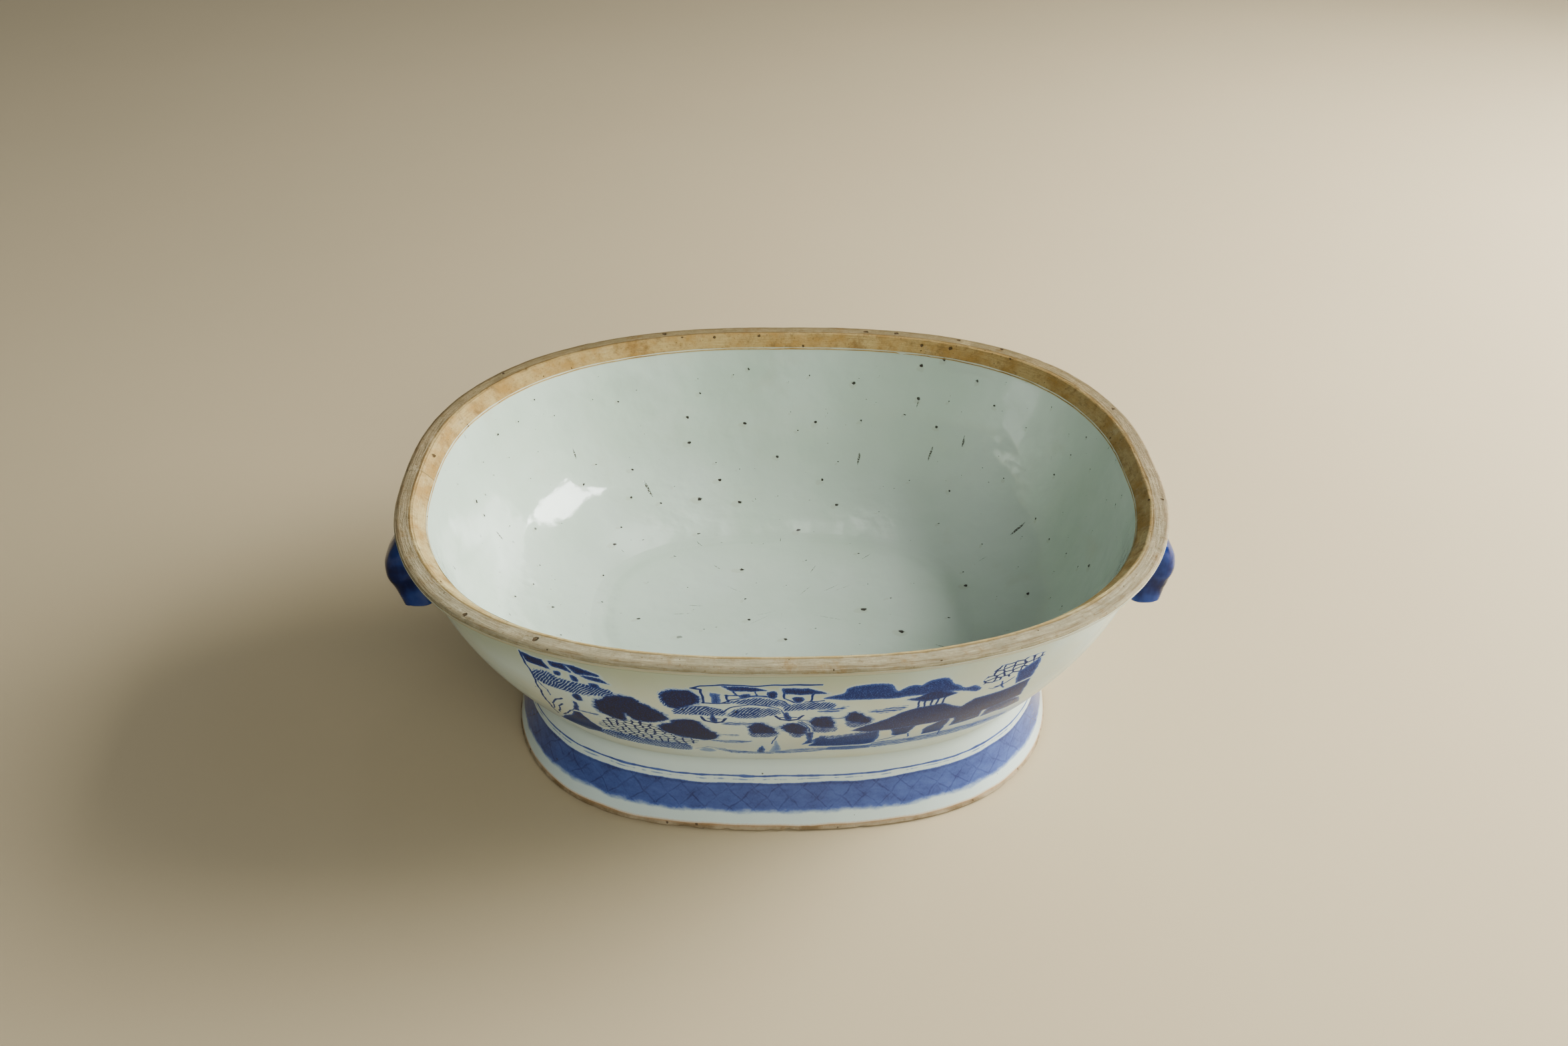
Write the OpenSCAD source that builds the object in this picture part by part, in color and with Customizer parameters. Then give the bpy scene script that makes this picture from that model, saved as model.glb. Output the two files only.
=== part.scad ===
// Oval porcelain serving bowl, the base of a covered tureen.
// Origin: centre of the footprint, on the surface it stands on.
// +X runs along the bowl's length (a lug handle at each end), +Z is up.

/* [Rim] */
// Length of the rim, end to end
rim_length = 300; // [270:1:330]
// Width of the rim, front to back
rim_width = 235; // [215:1:250]
// How square the rim's plan is: 2 is an ellipse, more fills out the corners
rim_squareness = 2.43; // [2.1:0.01:2.8]
// Slope of the bare seat: how far its inner edge lies below the flat band
seat_drop = 5.3; // [4:0.1:7]
// Width of the bare rim, from the lip's edge in to where the inside glaze starts
seat_width = 11.2; // [10:0.1:13]
// Width of the flat outer band that the lid's edge stands on, with the lip's edge
seat_band = 7; // [5:0.1:8]

/* [Body] */
// Height of the whole bowl
bowl_height = 117; // [108:1:130]
// How far the lip stands out over the wall
lip_overhang = 6.5; // [5:0.1:8]
// Depth of the lip, from its flat top to where the plain wall starts
lip_depth = 8; // [7:0.1:10]
// Wall thickness
wall_thickness = 6.5; // [5:0.1:8]
// Floor thickness
floor_thickness = 9; // [7:0.1:12]
// How much the wall bulges: 1 is straight, more is fuller near the foot
wall_bulge = 1.55; // [1.2:0.01:1.9]
// How far the rounded corner between wall and floor reaches in over the floor
corner_reach = 26; // [18:1:32]
// How far the rounded corner reaches up the wall
corner_rise = 24; // [18:1:30]

/* [Foot ring] */
// Length of the foot ring at the bottom
foot_length = 233.5; // [215:0.5:250]
// Width of the foot ring at the bottom
foot_width = 175; // [160:0.5:190]
// Height of the foot ring, up to the joint with the body
foot_height = 34; // [28:1:38]
// How far the foot ring draws in from its bottom edge to the joint
foot_flare = 8; // [5:0.5:11]
// Thickness of the foot ring at the joint
foot_thickness = 9; // [7:0.5:11]
// Width of the flat face that the bowl stands on
foot_land = 6; // [4:0.5:8]
// How square the foot's plan is
foot_squareness = 2.55; // [2.2:0.01:2.9]
// Height of the bare edge below the foot's glaze
bare_edge = 2.6; // [1.5:0.1:4]

/* [Handles] */
// How far each lug stands out past the end of the rim
lug_reach = 14.5; // [10:0.5:17]
// Width of a lug, front to back
lug_width = 22; // [18:1:28]
// Thickness of a lug
lug_thickness = 15; // [13:0.5:18]
// Height of the right lug's top above the floor
lug_top = 85; // [80:1:95]
// Height of the right lug's flat lower end above the floor
lug_bottom = 51.5; // [48:0.5:58]
// Lean of the right lug's lower end back towards the wall, in degrees
lug_lean = 12; // [0:1:18]
// How much higher the left lug was luted on
left_lug_lift = 3; // [0:0.5:5]
// Lean of the left lug, in degrees
left_lug_lean = 17; // [0:1:20]

/* [Glaze] */
// Thickness of the glaze coats
glaze = 0.4; // [0.3:0.05:0.6]

/* [Hidden] */

// Points round every oval ring
sides = 72;
// Room left at each fired joint, so that neighbouring pieces touch without overlapping
bond = 0.02;

lip_height = bowl_height - lip_depth;
floor_height = foot_height + floor_thickness;
seat_height = bowl_height - seat_drop;
joint_half = [foot_length / 2 - foot_flare, foot_width / 2 - foot_flare];
rim_half = [rim_length / 2, rim_width / 2];

// Heights up the wall and up the foot ring that get a ring of points, as fractions
wall_levels = [0.07, 0.16, 0.28, 0.42, 0.58, 0.75, 0.9, 1];
foot_levels = [0.2, 0.4, 0.6, 0.8, 1];
corner_levels = [0, 0.05, 0.12, 0.22, 0.36, 0.55, 0.78, 1];

// Section of the lip, from the wall out and over its edge:
// each point is [how far in from the edge, how far below the top], as fractions
// of the overhang and of the depth
lip_section = [[0.72, 0.8], [0.3, 0.62], [0.06, 0.42], [0, 0.25]];
// Distance of the lip's rounded top corner from the edge, where the glaze stops
lip_corner = 1.6;

bare_colour = [0.74, 0.66, 0.53];
glaze_colour = [0.80, 0.86, 0.83];
cobalt_colour = [0.12, 0.20, 0.48];

function blend(from, to, t) = from + (to - from) * t;

// One closed ring of points on an oval of the given half length and half width
function oval(half, squareness, height) = [
    for (i = [0 : sides - 1])
        let (
            angle = 360 * i / sides,
            fill = pow(pow(abs(cos(angle)), squareness) + pow(abs(sin(angle)), squareness), -1 / squareness)
        )
        [half.x * fill * cos(angle), half.y * fill * sin(angle), height]
];

// Ring on the outside of the wall; level runs from 0 at the joint to 1 under the lip
function wall_half(level) =
    blend(joint_half, rim_half - [lip_overhang, lip_overhang], 1 - pow(1 - level, wall_bulge));
function wall_squareness(level) = blend(foot_squareness, rim_squareness, level);
function wall_ring(level, inset) =
    oval(wall_half(level) - [inset, inset], wall_squareness(level), blend(foot_height, lip_height, level));

// Ring on the rim, at a distance in from the lip's edge and a drop below the top
function rim_ring(inset, drop) =
    oval(rim_half - [inset, inset], rim_squareness, bowl_height - drop);

// Ring on the outside of the foot; level runs from 0 on the floor to 1 at the joint
function foot_inset(level) = foot_flare * (1 - pow(1 - level, 1.6));
function foot_ring_at(level, inset) =
    let (total = foot_inset(level) + inset)
    oval([foot_length / 2 - total, foot_width / 2 - total], foot_squareness, foot_height * level);

// Ring on the inside of the bowl at a height between the floor and the seat's inner edge
function inside_ring(height, inset) =
    let (
        level = min(1, (height - foot_height) / (lip_height - foot_height)),
        corner = corner_reach * pow(max(0, 1 - (height - floor_height) / corner_rise), 3),
        flare = max(0, (height - lip_height) / (seat_height - lip_height))
              * (seat_width - lip_overhang - wall_thickness),
        total = wall_thickness + corner + flare + inset
    )
    oval(wall_half(level) - [total, total], wall_squareness(level), height);

// Rings down the visible inside surface, grown outwards and downwards by depth
function inside_rings(depth) = concat(
    [rim_ring(seat_width - depth, seat_drop)],
    [
        for (i = [len(wall_levels) - 1 : -1 : 3])
            inside_ring(blend(foot_height, lip_height, wall_levels[i]), -depth)
    ],
    [
        for (i = [len(corner_levels) - 2 : -1 : 0])
            inside_ring(floor_height - depth + corner_rise * corner_levels[i], -depth)
    ]
);

// Rings up the outside of wall and lip, drawn in by depth
function lip_rings(depth) = [
    for (p = lip_section) rim_ring(p[0] * lip_overhang + depth, p[1] * lip_depth)
];
function wall_rings(depth) = [for (level = wall_levels) wall_ring(level, depth)];

function reversed(list) = [for (i = [len(list) - 1 : -1 : 0]) list[i]];

// Skins a list of rings. An open loft gets a flat cap on its first and last ring;
// a closed loft joins its last ring to its first.
module loft(rings, closed = false) {
    count = len(rings);
    last = closed ? count - 1 : count - 2;
    skin = [
        for (r = [0 : last], i = [0 : sides - 1])
            let (
                next = (r + 1) % count,
                a = r * sides + i,
                b = r * sides + (i + 1) % sides,
                c = next * sides + (i + 1) % sides,
                d = next * sides + i
            )
            each [[a, d, c], [a, c, b]]
    ];
    first_cap = [for (i = [0 : sides - 1]) i];
    last_cap = [for (i = [sides - 1 : -1 : 0]) (count - 1) * sides + i];
    polyhedron(
        points = [for (ring = rings) each ring],
        faces = closed ? skin : concat(skin, [first_cap, last_cap]),
        convexity = 6
    );
}

// The porcelain body: floor, bulging wall and everted lip with its bare, sloping seat
module bowl_body() {
    coat = glaze + bond;
    color(bare_colour)
        loft(concat(
            [wall_ring(0, coat)],
            wall_rings(coat),
            lip_rings(coat),
            [rim_ring(lip_corner, 0), rim_ring(seat_band, 0)],
            inside_rings(coat)
        ));
}

// The foot ring, thrown apart and luted under the body with slip
module foot_ring() {
    coat = glaze + bond;
    edge_round = 1.2;
    color(bare_colour)
        loft(
            concat(
                [foot_ring_at(0, edge_round), foot_ring_at(0.03, coat)],
                [for (level = foot_levels) foot_ring_at(level, coat)],
                [foot_ring_at(1, foot_thickness), foot_ring_at(0.5, foot_thickness)],
                [foot_ring_at(0, edge_round + foot_land)]
            ),
            closed = true
        );
}

// Outline of the whole body without its hollow, used to cut the lugs' roots to the wall
module body_blank(grow) {
    loft(concat([wall_ring(0, -grow)], wall_rings(-grow), lip_rings(-grow)));
}

// A lug: a rounded bar that leaves the wall level under the lip, bends over and hangs
// down clear of the wall, with a flat lower end to hook the fingers behind
module lug(lean) {
    bend = 9;
    points = 28;
    rings_in_bend = 7;
    roundness = 3.2;
    centre = [rim_half.x + lug_reach - lug_thickness / 2 - bend, lug_top - lug_thickness / 2 - bend];
    turn = 90 + lean;
    bend_end = [centre.x + bend * sin(turn), centre.y + bend * cos(turn)];
    hang = (bend_end.y - lug_bottom) / cos(lean);
    path = concat(
        [[centre.x - 3 * bend, centre.y + bend, 0]],
        [
            for (i = [0 : rings_in_bend])
                let (angle = turn * i / rings_in_bend)
                [centre.x + bend * sin(angle), centre.y + bend * cos(angle), angle]
        ],
        [[bend_end.x - hang * sin(lean), lug_bottom, turn]]
    );
    rings = [
        for (p = path) [
            for (i = [0 : points - 1])
                let (
                    angle = 360 * i / points,
                    fill = pow(
                        pow(abs(cos(angle)), roundness) + pow(abs(sin(angle)), roundness),
                        -1 / roundness
                    ),
                    across = lug_thickness / 2 * fill * sin(angle),
                    level_end = p[1] == lug_bottom ? across * tan(lean) : 0
                )
                [
                    p[0] + across * sin(p[2]) + level_end * sin(lean),
                    -lug_width / 2 * fill * cos(angle),
                    p[1] + across * cos(p[2]) + level_end * cos(lean)
                ]
        ]
    ];
    last = len(rings) - 1;
    skin = [
        for (r = [0 : last - 1], i = [0 : points - 1])
            let (j = (i + 1) % points)
            each [
                [r * points + i, r * points + j, (r + 1) * points + j],
                [r * points + i, (r + 1) * points + j, (r + 1) * points + i]
            ]
    ];
    polyhedron(
        points = [for (ring = rings) each ring],
        faces = concat(
            skin,
            [[for (i = [points - 1 : -1 : 0]) i]],
            [[for (i = [0 : points - 1]) last * points + i]]
        ),
        convexity = 4
    );
}

module right_lug() {
    lug(lug_lean);
}

module left_lug() {
    translate([0, 0, left_lug_lift])
        mirror([1, 0, 0]) lug(left_lug_lean);
}

module handle_right() {
    color(cobalt_colour)
        difference() {
            right_lug();
            body_blank(bond - glaze);
        }
}

module handle_left() {
    color(cobalt_colour)
        difference() {
            left_lug();
            body_blank(bond - glaze);
        }
}

// Glaze coat inside the bowl, from the seat's inner edge down over the floor
module inside_glaze() {
    color(glaze_colour)
        loft(concat(reversed(inside_rings(glaze)), inside_rings(0)));
}

// Glaze coat outside: lip, wall and foot ring, open where the lugs are luted on
module outside_glaze() {
    bare_level = bare_edge / foot_height;
    module coat() {
        loft(
            concat(
                [foot_ring_at(bare_level, 0)],
                [for (level = foot_levels) foot_ring_at(level, 0)],
                wall_rings(0),
                lip_rings(0),
                [rim_ring(lip_corner, 0)],
                reversed(lip_rings(glaze)),
                reversed(wall_rings(glaze)),
                [for (level = reversed(foot_levels)) foot_ring_at(level, glaze)],
                [foot_ring_at(bare_level, glaze)]
            ),
            closed = true
        );
    }
    color(glaze_colour)
        difference() {
            coat();
            right_lug();
            left_lug();
        }
}

bowl_body();
foot_ring();
handle_left();
handle_right();
inside_glaze();
outside_glaze();
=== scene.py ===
"""Looks of the oval blue-and-white porcelain serving bowl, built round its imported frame.

Shapes are laid out in millimetres, turned into metres when a mesh is made. The stage, the
lights and the camera are in metres.
The bowl's surface has two coordinates: angle, round the oval, and rise, the distance up
the section from the foot's edge. The painted scenes are laid out in run (millimetres
round the wall from the middle of a side) and rise.
"""

import math

import bpy
import numpy as np
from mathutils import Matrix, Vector


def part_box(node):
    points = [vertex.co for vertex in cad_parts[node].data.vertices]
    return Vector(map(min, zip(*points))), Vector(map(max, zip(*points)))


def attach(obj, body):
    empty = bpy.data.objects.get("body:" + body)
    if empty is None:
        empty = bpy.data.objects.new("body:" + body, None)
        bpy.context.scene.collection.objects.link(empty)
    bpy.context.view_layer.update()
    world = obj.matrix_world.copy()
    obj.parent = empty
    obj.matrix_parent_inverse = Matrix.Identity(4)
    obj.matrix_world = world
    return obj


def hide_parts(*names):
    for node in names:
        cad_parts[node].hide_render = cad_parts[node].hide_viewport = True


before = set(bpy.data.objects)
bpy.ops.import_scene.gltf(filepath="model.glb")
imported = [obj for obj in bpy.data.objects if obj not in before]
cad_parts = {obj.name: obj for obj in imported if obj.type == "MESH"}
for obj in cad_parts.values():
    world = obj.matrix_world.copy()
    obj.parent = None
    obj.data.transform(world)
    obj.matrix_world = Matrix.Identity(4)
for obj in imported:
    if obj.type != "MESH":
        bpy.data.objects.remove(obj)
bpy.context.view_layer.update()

MM = 0.001
TAU = 2 * math.pi


def size_mm(node):
    """Full size of a CAD node in millimetres."""
    low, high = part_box(node)
    return np.array([(high[i] - low[i]) / MM for i in range(3)])


# ---------------------------------------------------------------- dimensions

RIM_HALF = size_mm("outside_glaze")[:2] / 2
BOWL_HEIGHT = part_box("bowl_body")[1][2] / MM
FOOT_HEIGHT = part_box("foot_ring")[1][2] / MM
GLAZE = 0.4
FOOT_HALF = size_mm("foot_ring")[:2] / 2 + 0.8
FOOT_FLARE = 8.0
FOOT_THICKNESS = 9.0
FOOT_LAND = 6.0
BARE_EDGE = 3.1
LIP_OVERHANG = 6.5
LIP_DEPTH = 8.0
LIP_CORNER = 1.6
SEAT_WIDTH = 11.2
SEAT_DROP = 5.3
SEAT_BAND = 7.0
WALL_THICKNESS = 6.5
WALL_BULGE = 1.55
CORNER_REACH = 26.0
CORNER_RISE = 24.0
FLOOR_THICKNESS = 9.0
RIM_SQUARENESS = 2.43
FOOT_SQUARENESS = 2.55

DISH_DEPTH = 1.2
LIP_BARE = 1.9
LAND_EDGE = 1.2

# Half length of the inside, rounded, which turns a ripple's depth into a scale
INSIDE_HALF_LENGTH = 140

# Reach below the lip where the coats' hidden rows lie closer together
UNDER_LIP = 14

# Height where run is measured, and the foot's own
RUN_HEIGHT = 72.0
FOOT_RUN_HEIGHT = 40

# Columns round each piece, and the wall grid's step in the painted panel
BODY_COLUMNS = 1040
FOOT_COLUMNS = 900
INSIDE_COLUMNS = 420
PANEL_STEP = 0.49

LIP_HEIGHT = BOWL_HEIGHT - LIP_DEPTH
SEAT_HEIGHT = BOWL_HEIGHT - SEAT_DROP
FLARE_HEIGHT = SEAT_HEIGHT - 12
FLOOR_HEIGHT = FOOT_HEIGHT + FLOOR_THICKNESS
JOINT_HALF = FOOT_HALF - FOOT_FLARE

LUG_HALF_THICKNESS = 7.5
LUG_BEND = 9.0
LUG_ROOT = 22.0
LUG_SQUARENESS = 3.0

# Painted bands, as rise in millimetres
FOOT_BAND = (9.7, 23.0)
FOOT_LINE = 26.2
PANEL_RUN = (-97.0, 93.0)
PANEL_RISE = (44.0, 115.5)


def blend(start, end, amount):
    return start + (end - start) * amount


def wall_level(height):
    """How far up the wall a height is: 0 at the foot joint, 1 where the lip starts."""
    return (height - FOOT_HEIGHT) / (LIP_HEIGHT - FOOT_HEIGHT)


def wall_half(level):
    """Half length and half width of the wall's outside."""
    return blend(JOINT_HALF, RIM_HALF - LIP_OVERHANG, 1 - (1 - level) ** WALL_BULGE)


def wall_oval(level):
    """The wall's outside as [half x, half y, squareness]."""
    return [*wall_half(level), blend(FOOT_SQUARENESS, RIM_SQUARENESS, level)]


# ---------------------------------------------------------------- section and plan

def outside_section():
    """Outside of foot, wall and lip as rows of [half x, half y, squareness, z, rise]."""
    rows = []
    for level in np.linspace(0, 1, 60)[:-1]:
        inset = FOOT_FLARE * (1 - (1 - level) ** 1.6)
        rows.append([*(FOOT_HALF - inset), FOOT_SQUARENESS, FOOT_HEIGHT * level])
    for level in np.linspace(0, 1, 120):
        rows.append([*wall_oval(level), blend(FOOT_HEIGHT, LIP_HEIGHT, level)])
    lip = [(0.72, 0.8), (0.3, 0.62), (0.06, 0.42), (0, 0.25)]
    for across, drop in lip:
        rows.append([*(RIM_HALF - across * LIP_OVERHANG), RIM_SQUARENESS, BOWL_HEIGHT - drop * LIP_DEPTH])
    rows.append([*(RIM_HALF - 0.35), RIM_SQUARENESS, BOWL_HEIGHT - 0.6])
    rows.append([*(RIM_HALF - LIP_CORNER), RIM_SQUARENESS, BOWL_HEIGHT])
    return softened(np.array(rows), reach=2.2)


def softened(rows, reach):
    """The section resampled evenly along its length, with its corners rounded off."""
    step = 0.2
    travel = np.r_[0, np.cumsum(np.hypot(np.diff(rows[:, 1]), np.diff(rows[:, 3])))]
    along = np.arange(0, travel[-1] + step / 2, step)
    even = np.column_stack([np.interp(along, travel, rows[:, i]) for i in range(4)])
    width = int(reach / step) | 1
    padded = np.pad(even, ((width // 2, width // 2), (0, 0)), mode="reflect", reflect_type="odd")
    window = np.hanning(width + 2)[1:-1]
    window /= window.sum()
    smooth = np.column_stack([np.convolve(padded[:, i], window, mode="valid") for i in range(4)])
    travel = np.r_[0, np.cumsum(np.hypot(np.diff(smooth[:, 1]), np.diff(smooth[:, 3])))]
    return np.column_stack([smooth, travel])


OUTSIDE = outside_section()
RISE_LIP = float(np.interp(BOWL_HEIGHT - LIP_BARE, OUTSIDE[:, 3], OUTSIDE[:, 4]))
RISE_JOINT = float(np.interp(FOOT_HEIGHT, OUTSIDE[:, 3], OUTSIDE[:, 4]))


def outside_at(rise):
    """Section rows [half x, half y, squareness, z] at the given rises."""
    return np.column_stack([np.interp(rise, OUTSIDE[:, 4], OUTSIDE[:, i]) for i in range(4)])


def inside_row(height, inset=0.0):
    """Row on the inside of the bowl, between the floor and the glaze line."""
    level = min(1.0, wall_level(height))
    corner = CORNER_REACH * max(0.0, 1 - (height - FLOOR_HEIGHT) / CORNER_RISE) ** 3
    flare = max(0.0, (height - FLARE_HEIGHT) / (SEAT_HEIGHT - FLARE_HEIGHT)) ** 2
    flare *= SEAT_WIDTH - LIP_OVERHANG - WALL_THICKNESS
    total = WALL_THICKNESS + corner + flare + inset
    return [*(wall_half(level) - total), blend(FOOT_SQUARENESS, RIM_SQUARENESS, level), height]


def wander(angle, seed, low, high):
    """Slow random wave round the oval, about -1 to 1, made of whole waves so that it closes."""
    random = np.random.default_rng(seed)
    total = np.zeros_like(angle)
    for waves in range(low, high + 1):
        height = random.normal()
        shift = random.uniform(0, TAU)
        total += height * np.cos(waves * angle + shift) / math.sqrt(waves / low)
    return total / math.sqrt(high - low + 1)


def hand_made(points):
    """Small sags and swells of hand work, the same for every piece, never outside the CAD."""
    x, y, z = points[..., 0], points[..., 1], points[..., 2]
    angle = np.arctan2(y / RIM_HALF[1], x / RIM_HALF[0])
    up = np.clip(z / BOWL_HEIGHT, 0, 1)
    pull = 0.45 * up * (1 + np.tanh(wander(angle, 11, 2, 6)))
    pull += 0.15 * up * (1 + np.tanh(wander(angle, 14, 7, 22)))
    pull += 0.4 * (1 - up) ** 3 * (1 + np.tanh(wander(angle, 12, 3, 10)))
    sag = 0.4 * up**3 * (1 + np.tanh(wander(angle, 13, 2, 7)))
    radius = np.maximum(np.hypot(x, y), 1.0)
    return np.stack([x - pull * x / radius, y - pull * y / radius, z - sag], axis=-1)


def oval_grid(rows, angles):
    """Points of shape (rows, angles, 3) on ovals given as [half x, half y, squareness, z]."""
    rows = np.asarray(rows, float)
    cosine, sine = np.cos(angles)[None, :], np.sin(angles)[None, :]
    squareness = rows[:, 2:3]
    fill = (np.abs(cosine) ** squareness + np.abs(sine) ** squareness) ** (-1 / squareness)
    x, y = rows[:, 0:1] * fill * cosine, rows[:, 1:2] * fill * sine
    return np.stack([x, y, np.broadcast_to(rows[:, 3:4], x.shape)], axis=-1)


def run_of(angles, z=RUN_HEIGHT):
    """Distance round the wall from the middle of the front, for rising angles."""
    fine = np.linspace(-math.pi / 2 - math.pi, -math.pi / 2 + 2 * math.pi, 9001)
    ring = oval_grid([[*wall_oval(wall_level(z)), z]], fine)[0]
    travel = np.r_[0, np.cumsum(np.hypot(*np.diff(ring[:, :2], axis=0).T))]
    travel -= np.interp(-math.pi / 2, fine, travel)
    return np.interp(angles, fine, travel), fine, travel


def even_angles(count, z=RUN_HEIGHT):
    """Angles spaced evenly by distance round the whole oval, starting at its left end."""
    _, fine, travel = run_of(np.zeros(1), z)
    start, end = np.interp([-math.pi, math.pi], fine, travel)
    return np.interp(np.linspace(start, end, count, endpoint=False), travel, fine)


# ---------------------------------------------------------------- meshes

def add_mesh(name, points, faces, fields=None):
    """A smooth mesh object from points in millimetres, with one float attribute per field."""
    mesh = bpy.data.meshes.new(name)
    mesh.from_pydata((points.reshape(-1, 3) * MM).tolist(), [], faces)
    for field, values in (fields or {}).items():
        layer = mesh.attributes.new(field, "FLOAT", "POINT")
        layer.data.foreach_set("value", np.asarray(values, np.float32).ravel())
    mesh.shade_smooth()
    mesh.set_sharp_from_angle(angle=math.radians(40))
    mesh.update()
    piece = bpy.data.objects.new(name, mesh)
    bpy.context.scene.collection.objects.link(piece)
    return piece


def strip_faces(rows, columns, closed_rows, closed_columns):
    """Quads over a grid of points, facing outwards for rows that go up the outside."""
    row = np.arange(rows if closed_rows else rows - 1)
    column = np.arange(columns if closed_columns else columns - 1)
    row, column = np.meshgrid(row, column, indexing="ij")
    start, next_start = row * columns, (row + 1) % rows * columns
    next_column = (column + 1) % columns
    corners = [start + column, start + next_column, next_start + next_column, next_start + column]
    quads = np.stack(corners)
    return quads.reshape(4, -1).T.tolist()


def spun_piece(name, grid, closed_rows, fields=None):
    """A piece that runs all the way round; open ends of the section get flat caps."""
    rows, columns = grid.shape[:2]
    faces = strip_faces(rows, columns, closed_rows, True)
    if not closed_rows:
        faces.append(list(range(columns - 1, -1, -1)))
        faces.append([(rows - 1) * columns + i for i in range(columns)])
    return add_mesh(name, grid, faces, fields)


def half_piece(name, grid, fields=None):
    """A piece that runs half way round, with a closed section and a flat cap on each end."""
    rows, columns = grid.shape[:2]
    faces = strip_faces(rows, columns, True, False)
    faces.append([r * columns for r in range(rows)])
    faces.append([r * columns + columns - 1 for r in range(rows - 1, -1, -1)])
    return add_mesh(name, grid, faces, fields)


def drawn_in(rows, depth):
    """The same section rows, drawn in by a coat's thickness."""
    rows = np.array(rows, float)
    rows[:, :2] -= depth
    return rows


# ---------------------------------------------------------------- the painted scene

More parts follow.
